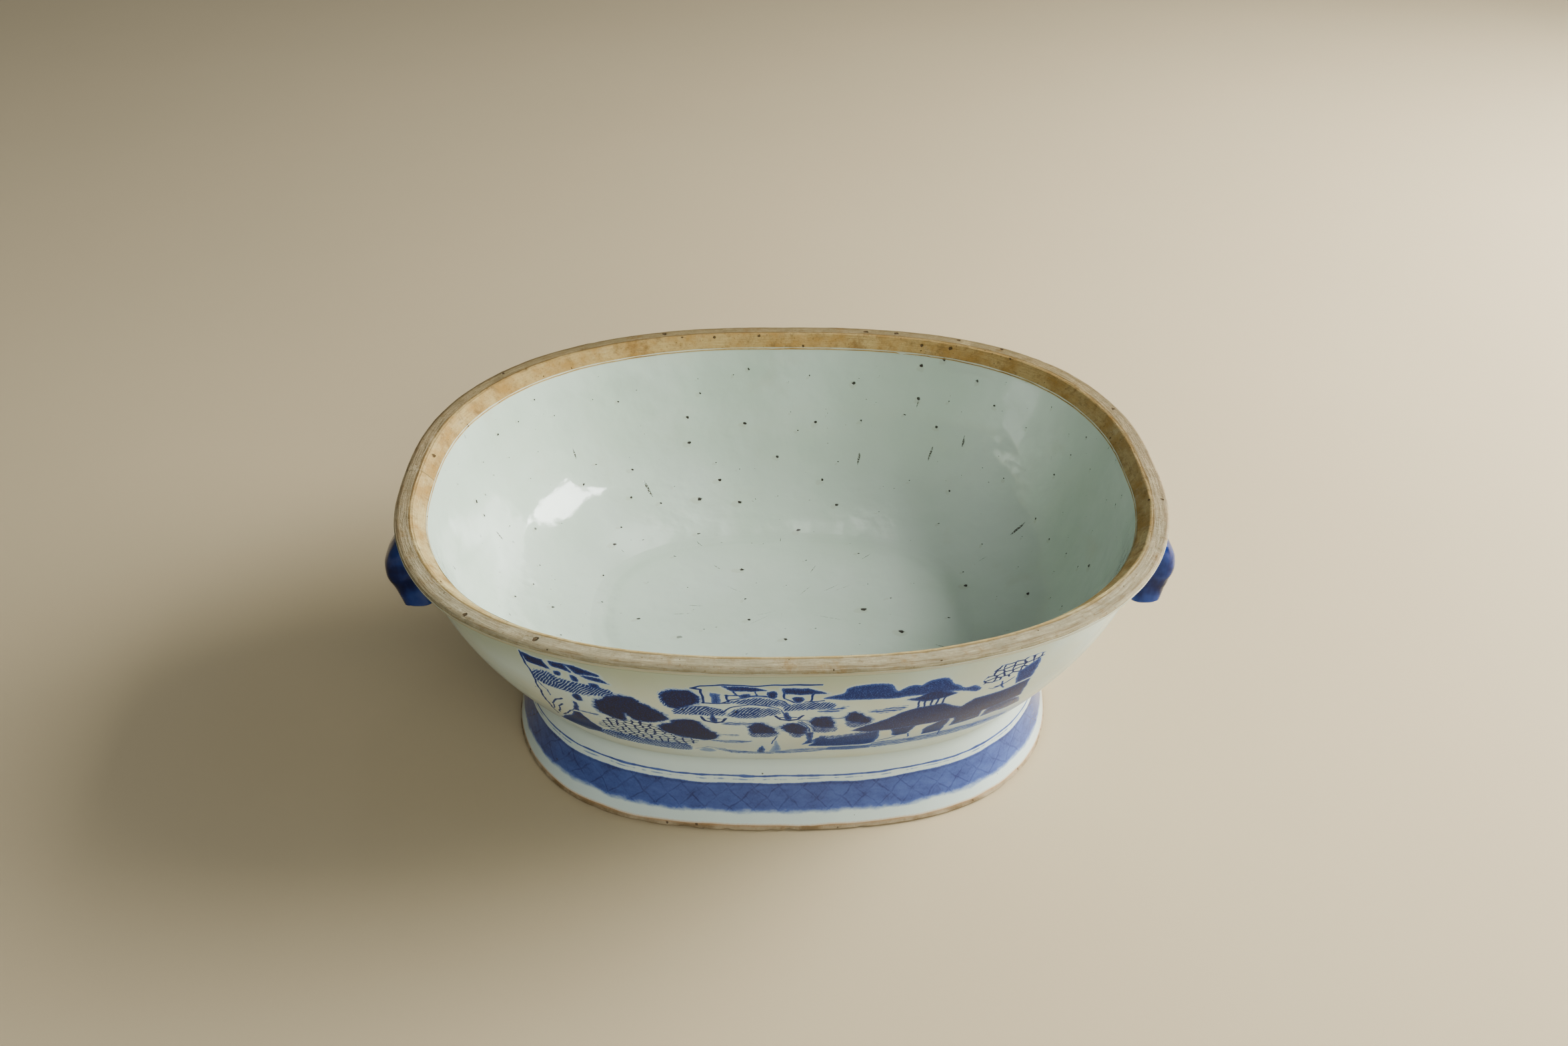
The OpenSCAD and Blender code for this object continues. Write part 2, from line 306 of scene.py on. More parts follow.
# The outlines, strokes and regions below follow the painting of the bowl in the photo: their
# points were read, in millimetres, off a flattened view of its panel.
# Each wash is [density, how rounded, outline], with outline points as (run, rise).
# Density 1 is the darkest pooled cobalt; under 0.5 is a thin clear blue.
ROUND, STRAIGHT = True, False
WASHES = [
    # far left: roofs, gables and windows of a village
    [0.95, STRAIGHT, [(-88, 113), (-80, 112.5), (-78, 107), (-86.5, 108)]],
    [0.9, STRAIGHT, [(-78, 112.7), (-72, 113), (-70, 108.5), (-77, 109.5)]],
    [0.9, STRAIGHT, [(-72, 113), (-68, 113), (-60, 111), (-59.5, 109.5), (-69, 108.8)]],
    [0.9, STRAIGHT, [(-68, 108.7), (-60, 108.7), (-57, 105.5), (-65, 107)]],
    [0.85, ROUND, [(-77, 107), (-74.5, 107.2), (-74.5, 105), (-77, 105)]],
    [0.85, ROUND, [(-71, 107.3), (-69, 107.3), (-68.7, 104.4), (-70.6, 104.4)]],
    [0.8, ROUND, [(-65, 105), (-62, 105), (-62, 102.2), (-64.8, 102.4)]],
    # left shore: a rock, a figure with a staff and the dark bank below
    [0.85, ROUND, [(-74.6, 91.5), (-73.4, 94.3), (-71.4, 95), (-70.4, 92.6), (-70.9, 89.6), (-73.2, 88.8)]],
    [0.85, STRAIGHT, [(-75.8, 87.3), (-74.6, 86.5), (-76.3, 78), (-79, 78)]],
    [0.9, STRAIGHT, [(-79.5, 76), (-76.5, 76.5), (-76, 68), (-74, 62), (-77, 55), (-85, 52.5),
                     (-91, 55), (-95, 58), (-91, 63), (-84, 70)]],
    # two great trees
    [1.0, ROUND, [(-67.3, 88), (-66.5, 92.3), (-62, 95.5), (-59.5, 98.6), (-55, 100.4), (-50.5, 99.2),
                  (-47.2, 95.5), (-45.5, 93), (-42.6, 90.7), (-41.3, 87), (-43.4, 83.2), (-47, 81.2),
                  (-51, 80.2), (-54.5, 81.2), (-56.6, 85.5), (-57.6, 81), (-60, 78.4), (-64, 80.5),
                  (-66.8, 83.5)]],
    [1.0, ROUND, [(-46.8, 77), (-44.5, 80), (-42, 81.2), (-39.8, 84.8), (-35, 86.3), (-31, 84.8),
                  (-29.4, 80.5), (-27.3, 76.7), (-25.3, 72.8), (-26, 69), (-29, 65.8), (-34, 65.6),
                  (-38.6, 67.6), (-43, 70), (-46.2, 73.3)]],
    [0.98, ROUND, [(-41.2, 102), (-39.6, 105.8), (-35.5, 107.4), (-31.4, 107.3), (-29, 104.5),
                   (-29, 100), (-31.8, 97.9), (-34.6, 96), (-37, 94.2), (-39.5, 95.2), (-40.8, 98.5)]],
    # long pavilion: two roofs, a door and round windows
    [0.95, STRAIGHT, [(-21.5, 110.8), (-10, 110.8), (-6, 108.3), (-17.5, 108.2)]],
    [0.9, STRAIGHT, [(-2, 109.8), (7, 110), (13, 106.2), (-1.2, 106.6)]],
    [0.62, STRAIGHT, [(-24.8, 106.6), (-21.4, 106.3), (-21.6, 99.6), (-24.4, 99.8)]],
    [0.85, ROUND, [(-15.4, 106), (-12.4, 107), (-12.2, 104.9), (-15, 104.3)]],
    [0.9, ROUND, [(-6.6, 107.4), (-4, 108.3), (-2.9, 106.6), (-3.6, 104), (-6.3, 104)]],
    [0.9, ROUND, [(1.5, 104.6), (4.6, 104.9), (5.3, 102.2), (3.6, 100.4), (1.8, 101.4)]],
    # boatmen
    [0.85, ROUND, [(-25.3, 92), (-24.4, 90), (-24.1, 86), (-25.8, 85), (-26.8, 87.2), (-25.9, 90)]],
    [0.8, ROUND, [(-0.8, 93.6), (0.4, 94), (1.3, 90.5), (1.2, 87.6), (-0.6, 87.2), (-1.2, 90)]],
    # row of wooded islets
    [0.95, ROUND, [(-13.8, 79.6), (-12.9, 83.3), (-10, 85), (-6.8, 83), (-4.2, 79.4), (-3.8, 75.6),
                   (-6.6, 74.2), (-10, 74.8), (-13, 75)]],
    [0.95, ROUND, [(-2.5, 81.4), (-0.6, 83.8), (3, 84.4), (5.8, 81.4), (7.2, 77.4), (7.6, 74.6),
                   (5.6, 73.6), (1.6, 74.6), (-1.2, 77.6)]],
    [0.95, ROUND, [(7.2, 85.6), (9, 88.6), (12, 89.8), (14.8, 88.6), (16.6, 83.6), (16.8, 80),
                   (13.6, 79.6), (9.6, 80.4), (7.8, 82.6)]],
    [0.95, ROUND, [(19.3, 89), (20.4, 92), (23, 93), (26, 90.4), (28.8, 86.4), (29.4, 83),
                   (26.6, 82.6), (22, 83.8), (20, 85.8)]],
    # bare tree trunk and the brown bank beside it
    [0.8, STRAIGHT, [(6.8, 75.5), (9.8, 75.5), (9.6, 62), (6, 60), (7.8, 66)]],
    [0.72, ROUND, [(10, 66.5), (13, 69.8), (16, 67.4), (20, 69.2), (25, 70.6), (30, 72.6), (33.8, 73.2),
                   (34.8, 66), (34.8, 59), (30, 57.6), (22, 57), (14, 57.6), (9, 58), (10, 62)]],
    [0.55, STRAIGHT, [(17, 55.8), (35, 56), (35, 51), (26, 50.2), (15, 51)]],
    # blue stones and posts along the near shore
    [0.3, ROUND, [(-36.4, 50.4), (-34.4, 53.6), (-31, 53), (-29.6, 49.4), (-32.6, 47.4), (-35.6, 47.8)]],
    [0.75, STRAIGHT, [(-12.8, 47.6), (-9.4, 47.4), (-8.4, 54), (-10, 59.6), (-11.4, 54.6)]],
    [0.35, STRAIGHT, [(-7.4, 50), (-4.2, 66), (-3.4, 66), (-2.4, 52), (-5, 49.4)]],
    [0.55, ROUND, [(-4.6, 50.4), (-1, 50.2), (2.4, 48.6), (-1, 47.6), (-4, 48)]],
    # far hills
    [0.7, ROUND, [(11.6, 103), (14.6, 104.8), (17.2, 106), (18.6, 108.8), (21.8, 110.6), (27, 110.9),
                  (31.6, 110.3), (33.6, 107.8), (35.4, 105.6), (37.6, 107.7), (40.6, 108.4), (42.6, 107.4),
                  (45, 109.4), (49.6, 110), (52.6, 108.4), (53.6, 106), (56, 104), (58, 101.6), (62, 101.2),
                  (65, 98.8), (63.4, 96.9), (60, 98.4), (56, 100), (48, 101), (38, 101), (26, 101.3),
                  (15, 102)]],
    # hill pavilion: its roof and columns
    [0.85, STRAIGHT, [(38.4, 99), (43, 100), (46, 102.6), (50, 103), (52.6, 101), (57, 98.4),
                      (53, 96.6), (45, 96), (41, 97.8)]],
    # great dark hill, the gable walls below it and the slope to the right
    [0.85, STRAIGHT, [(22.8, 75.4), (25, 77.8), (30, 81.6), (35, 85.6), (40, 90), (44, 92.3), (53, 92.6),
                      (57, 89), (61, 86.6), (63, 89), (65, 91), (74, 91.4), (80, 93), (85.4, 94.4),
                      (86, 86), (87.4, 80), (82, 78.6), (74, 76.4), (66, 75.8), (56, 75), (47, 74.2),
                      (38, 73.2), (30, 73), (26, 74)]],
    [0.85, STRAIGHT, [(38.4, 74), (47.2, 75), (46.4, 66), (42, 65.2), (40.2, 66.6)]],
    [0.85, STRAIGHT, [(56.5, 76), (60.4, 76), (61.2, 62.4), (53.4, 62), (51.6, 68.6), (53.6, 72)]],
    [0.85, STRAIGHT, [(61.8, 77), (73, 77.4), (74.4, 69), (68, 67.8), (63, 66.6)]],
    [0.7, STRAIGHT, [(74.6, 78), (84, 80), (88, 78), (92, 71), (87, 69), (81, 69.6), (75.4, 68)]],
    [0.72, STRAIGHT, [(77.4, 102.8), (80, 105), (85, 107.6), (85, 95.4), (79, 93.6), (78, 98)]],
]

# Each stroke is [width, points]
STROKES = [
    [0.75, [(-88, 113), (-87, 105), (-87, 97), (-88.6, 88), (-91, 75), (-93, 64)]],
    [0.6, [(-80, 86.5), (-84, 83.4), (-88, 77.6), (-90.6, 71)]],
    [0.6, [(-82.4, 81.4), (-86, 76), (-89.6, 68)]],
    [0.6, [(-79, 77.6), (-84, 72.6), (-89, 66)]],
    [0.5, [(-86.6, 97), (-84.6, 91), (-85.4, 86)]],
    # pavilion: roof line, eaves, posts, floor lines
    [0.7, [(-31, 109), (-27, 110.6), (-20, 111.3), (-8, 111.4), (11, 111.4)]],
    [0.9, [(-30.4, 109), (-27.2, 108.4), (-27.6, 100.2)]],
    [0.7, [(-28, 100.2), (-19, 100.2)]],
    [0.8, [(-19.4, 106.2), (-19.2, 101.2)]],
    [0.6, [(-20, 106), (-16, 105.9), (-10, 105.4), (-7, 105.2)]],
    [0.6, [(-10, 108.2), (-10, 105.4)]],
    [0.6, [(-17.4, 108.2), (-16, 106)]],
    [0.7, [(-1, 107), (-0.8, 103.6), (2, 100.8)]],
    [0.7, [(8.2, 106.4), (7.5, 101.4)]],
    [0.6, [(5.4, 100.8), (12, 101.6)]],
    # arched bridge and hills under the pavilion
    [0.6, [(-21, 100.6), (-18, 103), (-12, 104.9), (-6, 104.4), (-1, 101.6), (1, 98.6)]],
    [0.6, [(-22.4, 93), (-19, 97), (-13, 99.4), (-7, 98.8), (-2.6, 96.4), (-1, 93)]],
    [0.6, [(-17.4, 93.2), (-15.8, 94.6), (-13, 94.6), (-11.2, 93.2), (-13, 91.9), (-15.8, 91.9),
           (-17.4, 93.2)]],
    [0.6, [(-36.4, 95.4), (-32.6, 97.3), (-26, 97.4), (-22, 95.4)]],
    # boats
    [1.0, [(-29.4, 89.4), (-28.2, 86), (-25.4, 84.6), (-22.4, 85.6), (-20.6, 89)]],
    [0.6, [(-27.4, 88.2), (-22.4, 88.2)]],
    [0.5, [(-25, 93), (-25, 90)]],
    [0.9, [(-4.2, 91), (-2.6, 88), (0.4, 86.8), (3.4, 88), (5.2, 91.2)]],
    [0.6, [(-2.6, 89.4), (3.2, 89.6)]],
    # mooring lines and the bare tree's branches
    [0.6, [(15, 87.6), (17, 87.4), (19.4, 88.4)]],
    [0.6, [(4, 87.4), (7, 87)]],
    [0.6, [(3.8, 86), (6, 82), (8.4, 76)]],
    [0.6, [(5, 86), (8, 81), (10.2, 76)]],
    [0.6, [(-6, 62), (-4.4, 67.4), (-3.6, 71)]],
    # little trees on the right hand shore
    [0.6, [(70.6, 96.4), (73.6, 97.4), (76.6, 100)]],
    [0.6, [(72.4, 99.6), (73, 97), (74.2, 93.6)]],
    [0.5, [(68, 96.6), (70, 95.4), (72.6, 96.2)]],
    [0.6, [(47, 66), (47.8, 62)]],
    [0.6, [(36, 60.8), (42, 64.4)]],
    [0.7, [(60.6, 62), (61.8, 57)]],
    # stones along the near shore
    [0.5, [(-38, 52), (-32, 55.6), (-25.4, 54), (-22.8, 47.6)]],
    [0.5, [(-20.4, 47.6), (-18, 49), (-15.4, 48)]],
]

# The pavilion's columns on the hill, as runs between two rises
COLUMN_RUNS = (43.5, 45.8, 48.3, 50.4, 52.6)
COLUMN_RISE = (92.4, 97)
COLUMN_WIDTH = 0.8

# Regions that are filled with one kind of brush pattern
BLADES = [
    # hatched hills under the village and the pavilion
    [(-87, 102.5), (-80, 105.5), (-76, 103.6), (-68, 103.8), (-58, 102.2), (-58, 98.6),
     (-66, 95.6), (-76, 94.6), (-86, 96.6)],
    [(-38.4, 91), (-37, 95), (-33, 97), (-26, 97.2), (-22, 95.4), (-20.6, 91.6), (-28, 90.4)],
    [(-20, 100.8), (-16, 103), (-11, 103.9), (-4, 102.8), (0.6, 99.4), (-2, 98.2), (-8, 98.8), (-14, 99.6)],
    [(-20.4, 91.4), (-18, 95.4), (-12, 97.6), (-5, 96.8), (-1.6, 93.4), (-7, 90.4), (-13, 88.8), (-18, 90)],
    [(-1, 99), (4, 100.2), (10, 100.8), (15.6, 99.6), (14.6, 96.4), (6, 95.2), (-1, 95)],
    # grass under the islets
    [(-13.4, 75.6), (-4, 76), (-3.6, 72), (-8, 69.6), (-13, 71)],
    [(0.6, 76), (7, 75), (5, 69.6), (1.6, 70)],
    [(8.4, 81), (16.8, 80.6), (18, 76.4), (14, 74.4), (9.6, 75.6)],
    [(20.4, 84.6), (29.2, 83.8), (28, 80), (22.4, 79.4)],
    # fringe of the left trees and of the brown bank
    [(-41.8, 104), (-40, 105.8), (-39.6, 96), (-41.6, 97)],
    [(12, 71), (16, 70.6), (24, 72.4), (31, 74.4), (33, 73), (24, 69.6), (14, 67)],
    # blue bank at the lower left
    [(-79, 58), (-71, 62.6), (-66, 61.6), (-58, 60), (-48, 58.8), (-40, 58.4), (-40, 49),
     (-48, 48.2), (-58, 49), (-68, 50), (-76, 52.4)],
]
RIPPLES = [
    [(27, 93), (33, 94.4), (40, 95), (38, 91.4), (32, 90.4)],
    [(10, 95.6), (20, 97.4), (17, 93.6), (11, 93)],
    [(-22, 85.4), (-8, 85.4), (-8, 84), (-20, 82)],
    [(-28, 66), (-14, 66), (-14, 64), (-20, 62.4), (-28, 64)],
    [(-24, 73), (-18, 73.4), (-18, 71.4), (-24, 71.8)],
    [(-76, 80), (-69, 80), (-69, 77.4), (-76, 78)],
    [(35, 59), (48, 60), (62, 61), (80, 62), (92, 60), (94, 53), (76, 52.6), (58, 52.4),
     (44, 51.6), (35, 51.6)],
    [(-30, 54), (-10, 50), (4, 54), (16, 55), (15, 50), (0, 46.6), (-20, 46.4)],
]
SCALES = [
    [(-64, 79.6), (-60, 78.4), (-55, 80.8), (-50, 79.6), (-47, 76), (-45, 71), (-39, 67),
     (-34.4, 65.4), (-35, 61), (-40, 58.6), (-48, 58), (-58, 59.4), (-66, 61.4), (-71, 65),
     (-72.4, 68.6), (-69, 74)],
    [(65, 100.6), (65.8, 105), (67.6, 108.6), (70, 110.2), (86, 110.2), (83.4, 106.4), (79, 104),
     (76.6, 102), (71, 101)],
]


def rounded(outline, per_side=5):
    """A closed outline with a smooth curve through its points."""
    here = np.array(outline, float)
    before, after, beyond = np.roll(here, 1, 0), np.roll(here, -1, 0), np.roll(here, -2, 0)
    curve = []
    for t in np.arange(per_side) / per_side:
        bend = 2 * before - 5 * here + 4 * after - beyond
        twist = 3 * here - before - 3 * after + beyond
        curve.append(0.5 * (2 * here + (after - before) * t + bend * t**2 + twist * t**3))
    return np.stack(curve, axis=1).reshape(-1, 2)


def segment_distance(run, rise, start, end):
    """Distance from every point to the segment from start to end."""
    side = end - start
    along = ((run - start[0]) * side[0] + (rise - start[1]) * side[1]) / max(side @ side, 1e-9)
    along = np.clip(along, 0, 1)
    return np.hypot(run - start[0] - along * side[0], rise - start[1] - along * side[1])


def outline_distance(run, rise, outline):
    """Distance to a closed outline, negative inside it."""
    outline = np.asarray(outline, float)
    nearest = np.full(run.shape, 1e3)
    inside = np.zeros(run.shape, bool)
    for start, end in zip(outline, np.roll(outline, -1, 0)):
        nearest = np.minimum(nearest, segment_distance(run, rise, start, end))
        crosses = (start[1] > rise) != (end[1] > rise)
        slope = (end[0] - start[0]) / (end[1] - start[1] + 1e-12)
        inside ^= crosses & (run < start[0] + (rise - start[1]) * slope)
    return np.where(inside, -nearest, nearest)


def near(run, rise, points, margin):
    """Which grid points lie in the box round the given points, with a margin."""
    points = np.asarray(points, float)
    low, high = points.min(0) - margin, points.max(0) + margin
    return (run > low[0]) & (run < high[0]) & (rise > low[1]) & (rise < high[1])


def hand_wobble(run, rise, seed):
    """Small smooth shake of the painter's hand, in millimetres."""
    random = np.random.default_rng(seed)
    total = np.zeros_like(run)
    for _ in range(9):
        wave = TAU / random.uniform(3, 16)
        heading = random.uniform(0, TAU)
        shift = random.uniform(0, TAU)
        total += np.sin(wave * (run * math.cos(heading) + rise * math.sin(heading)) + shift)
    return total / 3


FAR = 9.0
# Round washes at least this dense are trees, with ragged edges
LEAFY_FROM = 0.94


def region_field(run, rise, outlines, smooth):
    """Distance to the nearest of several outlines, negative inside, at most FAR."""
    field = np.full(run.shape, FAR)
    for outline in outlines:
        shape = rounded(outline) if smooth else np.array(outline, float)
        here = near(run, rise, shape, 3)
        field[here] = np.minimum(field[here], outline_distance(run[here], rise[here], shape))
    return field


def painted_fields(run, rise, seed):
    """Fields of the painted scene at every point of a wall grid."""
    run = run + 0.3 * hand_wobble(run, rise, seed)
    rise = rise + 0.3 * hand_wobble(run, rise, seed + 1)
    wash = np.full(run.shape, FAR)
    tone = np.zeros(run.shape)
    leafy = np.zeros(run.shape)
    for density, is_round, outline in WASHES:
        shape = rounded(outline) if is_round else np.array(outline, float)
        here = near(run, rise, shape, 3)
        distance = outline_distance(run[here], rise[here], shape)
        nearer = distance < wash[here]
        wash[here] = np.where(nearer, distance, wash[here])
        tone[here] = np.where(nearer, density, tone[here])
        leafy[here] = np.where(nearer, float(is_round and density >= LEAFY_FROM), leafy[here])
    stroke = np.full(run.shape, FAR)
    columns = [[COLUMN_WIDTH, [(x, COLUMN_RISE[0]), (x, COLUMN_RISE[1])]] for x in COLUMN_RUNS]
    for width, points in STROKES + columns:
        points = np.array(points, float)
        here = near(run, rise, points, 3)
        for start, end in zip(points, points[1:]):
            distance = segment_distance(run[here], rise[here], start, end) - width / 2
            stroke[here] = np.minimum(stroke[here], distance)
    return {
        "wash": wash,
        "tone": tone,
        "leafy": leafy,
        "stroke": stroke,
        "blades": region_field(run, rise, BLADES, True),
        "ripples": region_field(run, rise, RIPPLES, True),
        "scales": region_field(run, rise, SCALES, True),
    }


# ---------------------------------------------------------------- pieces

def wall_glaze(name, turned):
    """Half of the outside coat from foot joint to lip corner, with its painted scene.
    turned is 0 for the front and pi for the back, whose scene is a mirrored twin."""
    _, fine, travel = run_of(np.zeros(1))
    end_run = float(np.interp(0, fine, travel))
    panel = np.arange(PANEL_RUN[0], PANEL_RUN[1] + 0.01, PANEL_STEP)
    left = np.linspace(-end_run, PANEL_RUN[0], 60)[:-1]
    right = np.linspace(PANEL_RUN[1], end_run, 60)[1:]
    run = np.concatenate([left, panel, right])
    angles = np.interp(run, travel, fine)
    rise = np.concatenate([
        np.linspace(RISE_JOINT, PANEL_RISE[0], 9)[:-1],
        np.arange(PANEL_RISE[0], PANEL_RISE[1], PANEL_STEP),
        np.linspace(PANEL_RISE[1], RISE_LIP, 26),
    ])
    outer = outside_at(rise)
    under_lip = RISE_LIP - np.linspace(0, UNDER_LIP, 13)
    below = np.linspace(RISE_LIP - UNDER_LIP, RISE_JOINT, 5)[1:]
    inner = drawn_in(outside_at(np.concatenate([under_lip, below])), GLAZE)
    grid = oval_grid(np.vstack([outer, inner]), angles + turned)
    edge = 0.3 * np.tanh(wander(angles + turned, 21, 20, 90))
    near_edge = np.clip((grid[..., 2] - (BOWL_HEIGHT - LIP_BARE - 2)) / 2, 0, 1)
    grid[..., 2] += near_edge * edge[None, :]
    grid = hand_made(grid)
    run_grid = np.broadcast_to(run, (len(rise), len(run)))
    rise_grid = np.broadcast_to(rise[:, None], run_grid.shape)
    painted = painted_fields(run_grid if not turned else -run_grid - 3, rise_grid, 40 + int(turned))
    fields = {"run": run_grid, "rise": rise_grid, **painted}
    rest = np.zeros((len(inner), len(run)))
    fields = {key: np.vstack([values, rest + (0 if key in ("run", "rise", "tone", "leafy") else FAR)])
              for key, values in fields.items()}
    return half_piece(name, grid, fields)


def foot_glaze():
    """The outside coat on the foot, down to its uneven bare edge."""
    angles = even_angles(FOOT_COLUMNS, z=FOOT_RUN_HEIGHT)
    rise = np.linspace(BARE_EDGE, RISE_JOINT, 44)
    outer = oval_grid(outside_at(rise), angles)
    inner = oval_grid(drawn_in(outside_at(np.linspace(RISE_JOINT, BARE_EDGE, 6)), GLAZE), angles)
    grid = np.concatenate([outer, inner])
    low = np.clip(1 - (grid[..., 2] - BARE_EDGE) / 5, 0, 1)
    grid[..., 2] += low * 0.55 * wander(angles, 22, 6, 60)[None, :]
    grid = hand_made(grid)
    run, _, _ = run_of(angles)
    run_grid = np.broadcast_to(run, grid.shape[:2])
    rise_grid = np.concatenate([rise, np.linspace(RISE_JOINT, BARE_EDGE, 6)])[:, None] + 0 * run_grid
    return spun_piece("foot_glaze", grid, True, {"run": run_grid, "rise": rise_grid})


def section_line(stops, per_step):
    """Rows between section rows, evenly divided."""
    rows = [stops[0]]
    for start, end, count in zip(stops, stops[1:], per_step):
        start, end = np.array(start, float), np.array(end, float)
        rows += [list(blend(start, end, t)) for t in np.linspace(0, 1, count + 1)[1:]]
    return rows


def rim_row(inset, drop):
    return [*(RIM_HALF - inset), RIM_SQUARENESS, BOWL_HEIGHT - drop]


def bare_body():
    """The porcelain body: what shows of it is the bare rim and the underside."""
    angles = even_angles(BODY_COLUMNS)
    underside = [[*(JOINT_HALF * t), FOOT_SQUARENESS, FOOT_HEIGHT] for t in (0.02, 0.3, 0.6, 0.9)]
    outside_rise = np.concatenate([
        np.linspace(RISE_JOINT, RISE_LIP - UNDER_LIP, 8)[:-1],
        np.linspace(RISE_LIP - UNDER_LIP, RISE_LIP - 1, 17),
    ])
    outside = drawn_in(outside_at(outside_rise), GLAZE)
    rim = section_line(
        [rim_row(0.25, LIP_BARE + 0.4), rim_row(0.2, 1.1), rim_row(0.55, 0.35), rim_row(1.5, 0),
         rim_row(SEAT_BAND - 0.8, 0), rim_row(SEAT_BAND + 0.1, 0.35),
         rim_row(SEAT_WIDTH - 0.5, SEAT_DROP - 0.8), rim_row(SEAT_WIDTH + GLAZE, SEAT_DROP + 0.6)],
        [2, 2, 2, 8, 3, 10, 2])
    inside = inside_body_rows()
    rows = np.vstack([underside, outside, rim, inside])
    grid = oval_grid(rows, angles)
    first = len(underside) + len(outside)
    last = first + len(rim)
    across = np.full(len(rows), -1.0)
    across[first:last] = np.linspace(0, 1, len(rim))
    run, _, _ = run_of(angles)
    fields = {
        "run": np.broadcast_to(run, grid.shape[:2]),
        "across": np.broadcast_to(across[:, None], grid.shape[:2]),
    }
    grid = hand_made(grid)
    grid[first:last, :, 2] -= rim_wear(run, across[first:last])
    return spun_piece("bare_body", grid, False, fields)


def inside_body_rows():
    """The hollow of the body, just under its glaze coat."""
    under = GLAZE + 0.6
    rows = []
    for height in np.linspace(SEAT_HEIGHT - 1.5, FLOOR_HEIGHT, 30):
        low = max(0.0, 1 - (height - FLOOR_HEIGHT) / CORNER_RISE)
        row = inside_row(height, -under)
        rows.append([*row[:3], height - under * low])
    floor_half = np.array(rows[-1][:2])
    for t in (0.98, 0.8, 0.6, 0.4, 0.2, 0.02):
        rows.append([*(floor_half * t), FOOT_SQUARENESS, FLOOR_HEIGHT - under - DISH_DEPTH * (1 - t**2)])
    return rows


def rim_wear(run, across):
    """Depth of the tool lines, dents and chips of the bare rim, in millimetres."""
    random = np.random.default_rng(31)
    run_grid, across_grid = np.broadcast_to(run, (len(across), len(run))), across[:, None]
    depth = 0.05 * np.sin(across_grid * 70 + 2 * np.sin(run_grid / 40))
    depth = depth + 0.05 * hand_wobble(run_grid, across_grid * 15, 32)
    low, high = run.min(), run.max()
    for _ in range(120):
        place, level = random.uniform(low, high), random.uniform(0, 1)
        radius = random.uniform(0.5, 1.3)
        gap = np.hypot(run_grid - place, (across_grid - level) * 15)
        depth = depth + random.uniform(0.1, 0.35) * np.exp(-((gap / radius) ** 2))
    face = np.clip(across_grid * 12, 0, 1)
    return np.clip(depth + 0.12, 0, 1) * face


def bare_foot():
    """The foot ring's porcelain: its bare edge, the face it stands on and its inner wall."""
    angles = even_angles(FOOT_COLUMNS, z=FOOT_RUN_HEIGHT)
    outside = drawn_in(outside_at(np.linspace(BARE_EDGE + 2, RISE_JOINT, 8)), GLAZE)
    top = outside_at(np.array([RISE_JOINT]))[0]
    inner_top = [*(top[:2] - FOOT_THICKNESS), FOOT_SQUARENESS, FOOT_HEIGHT]
    inner_low = [*(FOOT_HALF - LAND_EDGE - FOOT_LAND - LAND_EDGE), FOOT_SQUARENESS, 1.6]
    land_in = [*(FOOT_HALF - LAND_EDGE - FOOT_LAND), FOOT_SQUARENESS, 0]
    land_out = [*(FOOT_HALF - 1.6), FOOT_SQUARENESS, 0]
    edge = [*(FOOT_HALF - 0.75), FOOT_SQUARENESS, 0.35]
    edge_up = [*(FOOT_HALF - 0.45), FOOT_SQUARENESS, 1.1]
    bare_top = drawn_in(outside_at(np.array([BARE_EDGE + 1.0])), 0.3)[0]
    rows = np.vstack([
        section_line(
            [inner_top, inner_low, land_in, land_out, edge, edge_up, bare_top],
            [14, 3, 6, 2, 2, 3]),
        outside,
    ])
    grid = hand_made(oval_grid(rows, angles))
    run, _, _ = run_of(angles)
    grid = nicked(grid, run)
    fields = {"run": np.broadcast_to(run, grid.shape[:2]), "rise": grid[..., 2]}
    return spun_piece("bare_foot", grid, True, fields)


def nicked(grid, run):
    """Small chips along the foot's lower outer edge."""
    random = np.random.default_rng(33)
    x, y, z = grid[..., 0], grid[..., 1], grid[..., 2]
    outer = np.hypot(x / FOOT_HALF[0], y / FOOT_HALF[1]) > 0.94
    bite = np.zeros(z.shape)
    for _ in range(46):
        place = random.uniform(run.min(), run.max())
        width = random.uniform(0.8, 2.6)
        depth = random.uniform(0.15, 0.55)
        bite += depth * np.exp(-(((run[None, :] - place) / width) ** 2)) * np.ones_like(z)
    bite *= outer * np.clip(1 - z / 3, 0, 1)
    radius = np.hypot(x, y)
    return np.stack([x - bite * x / radius, y - bite * y / radius, z + 0.8 * bite * (z > 0.01)], axis=-1)


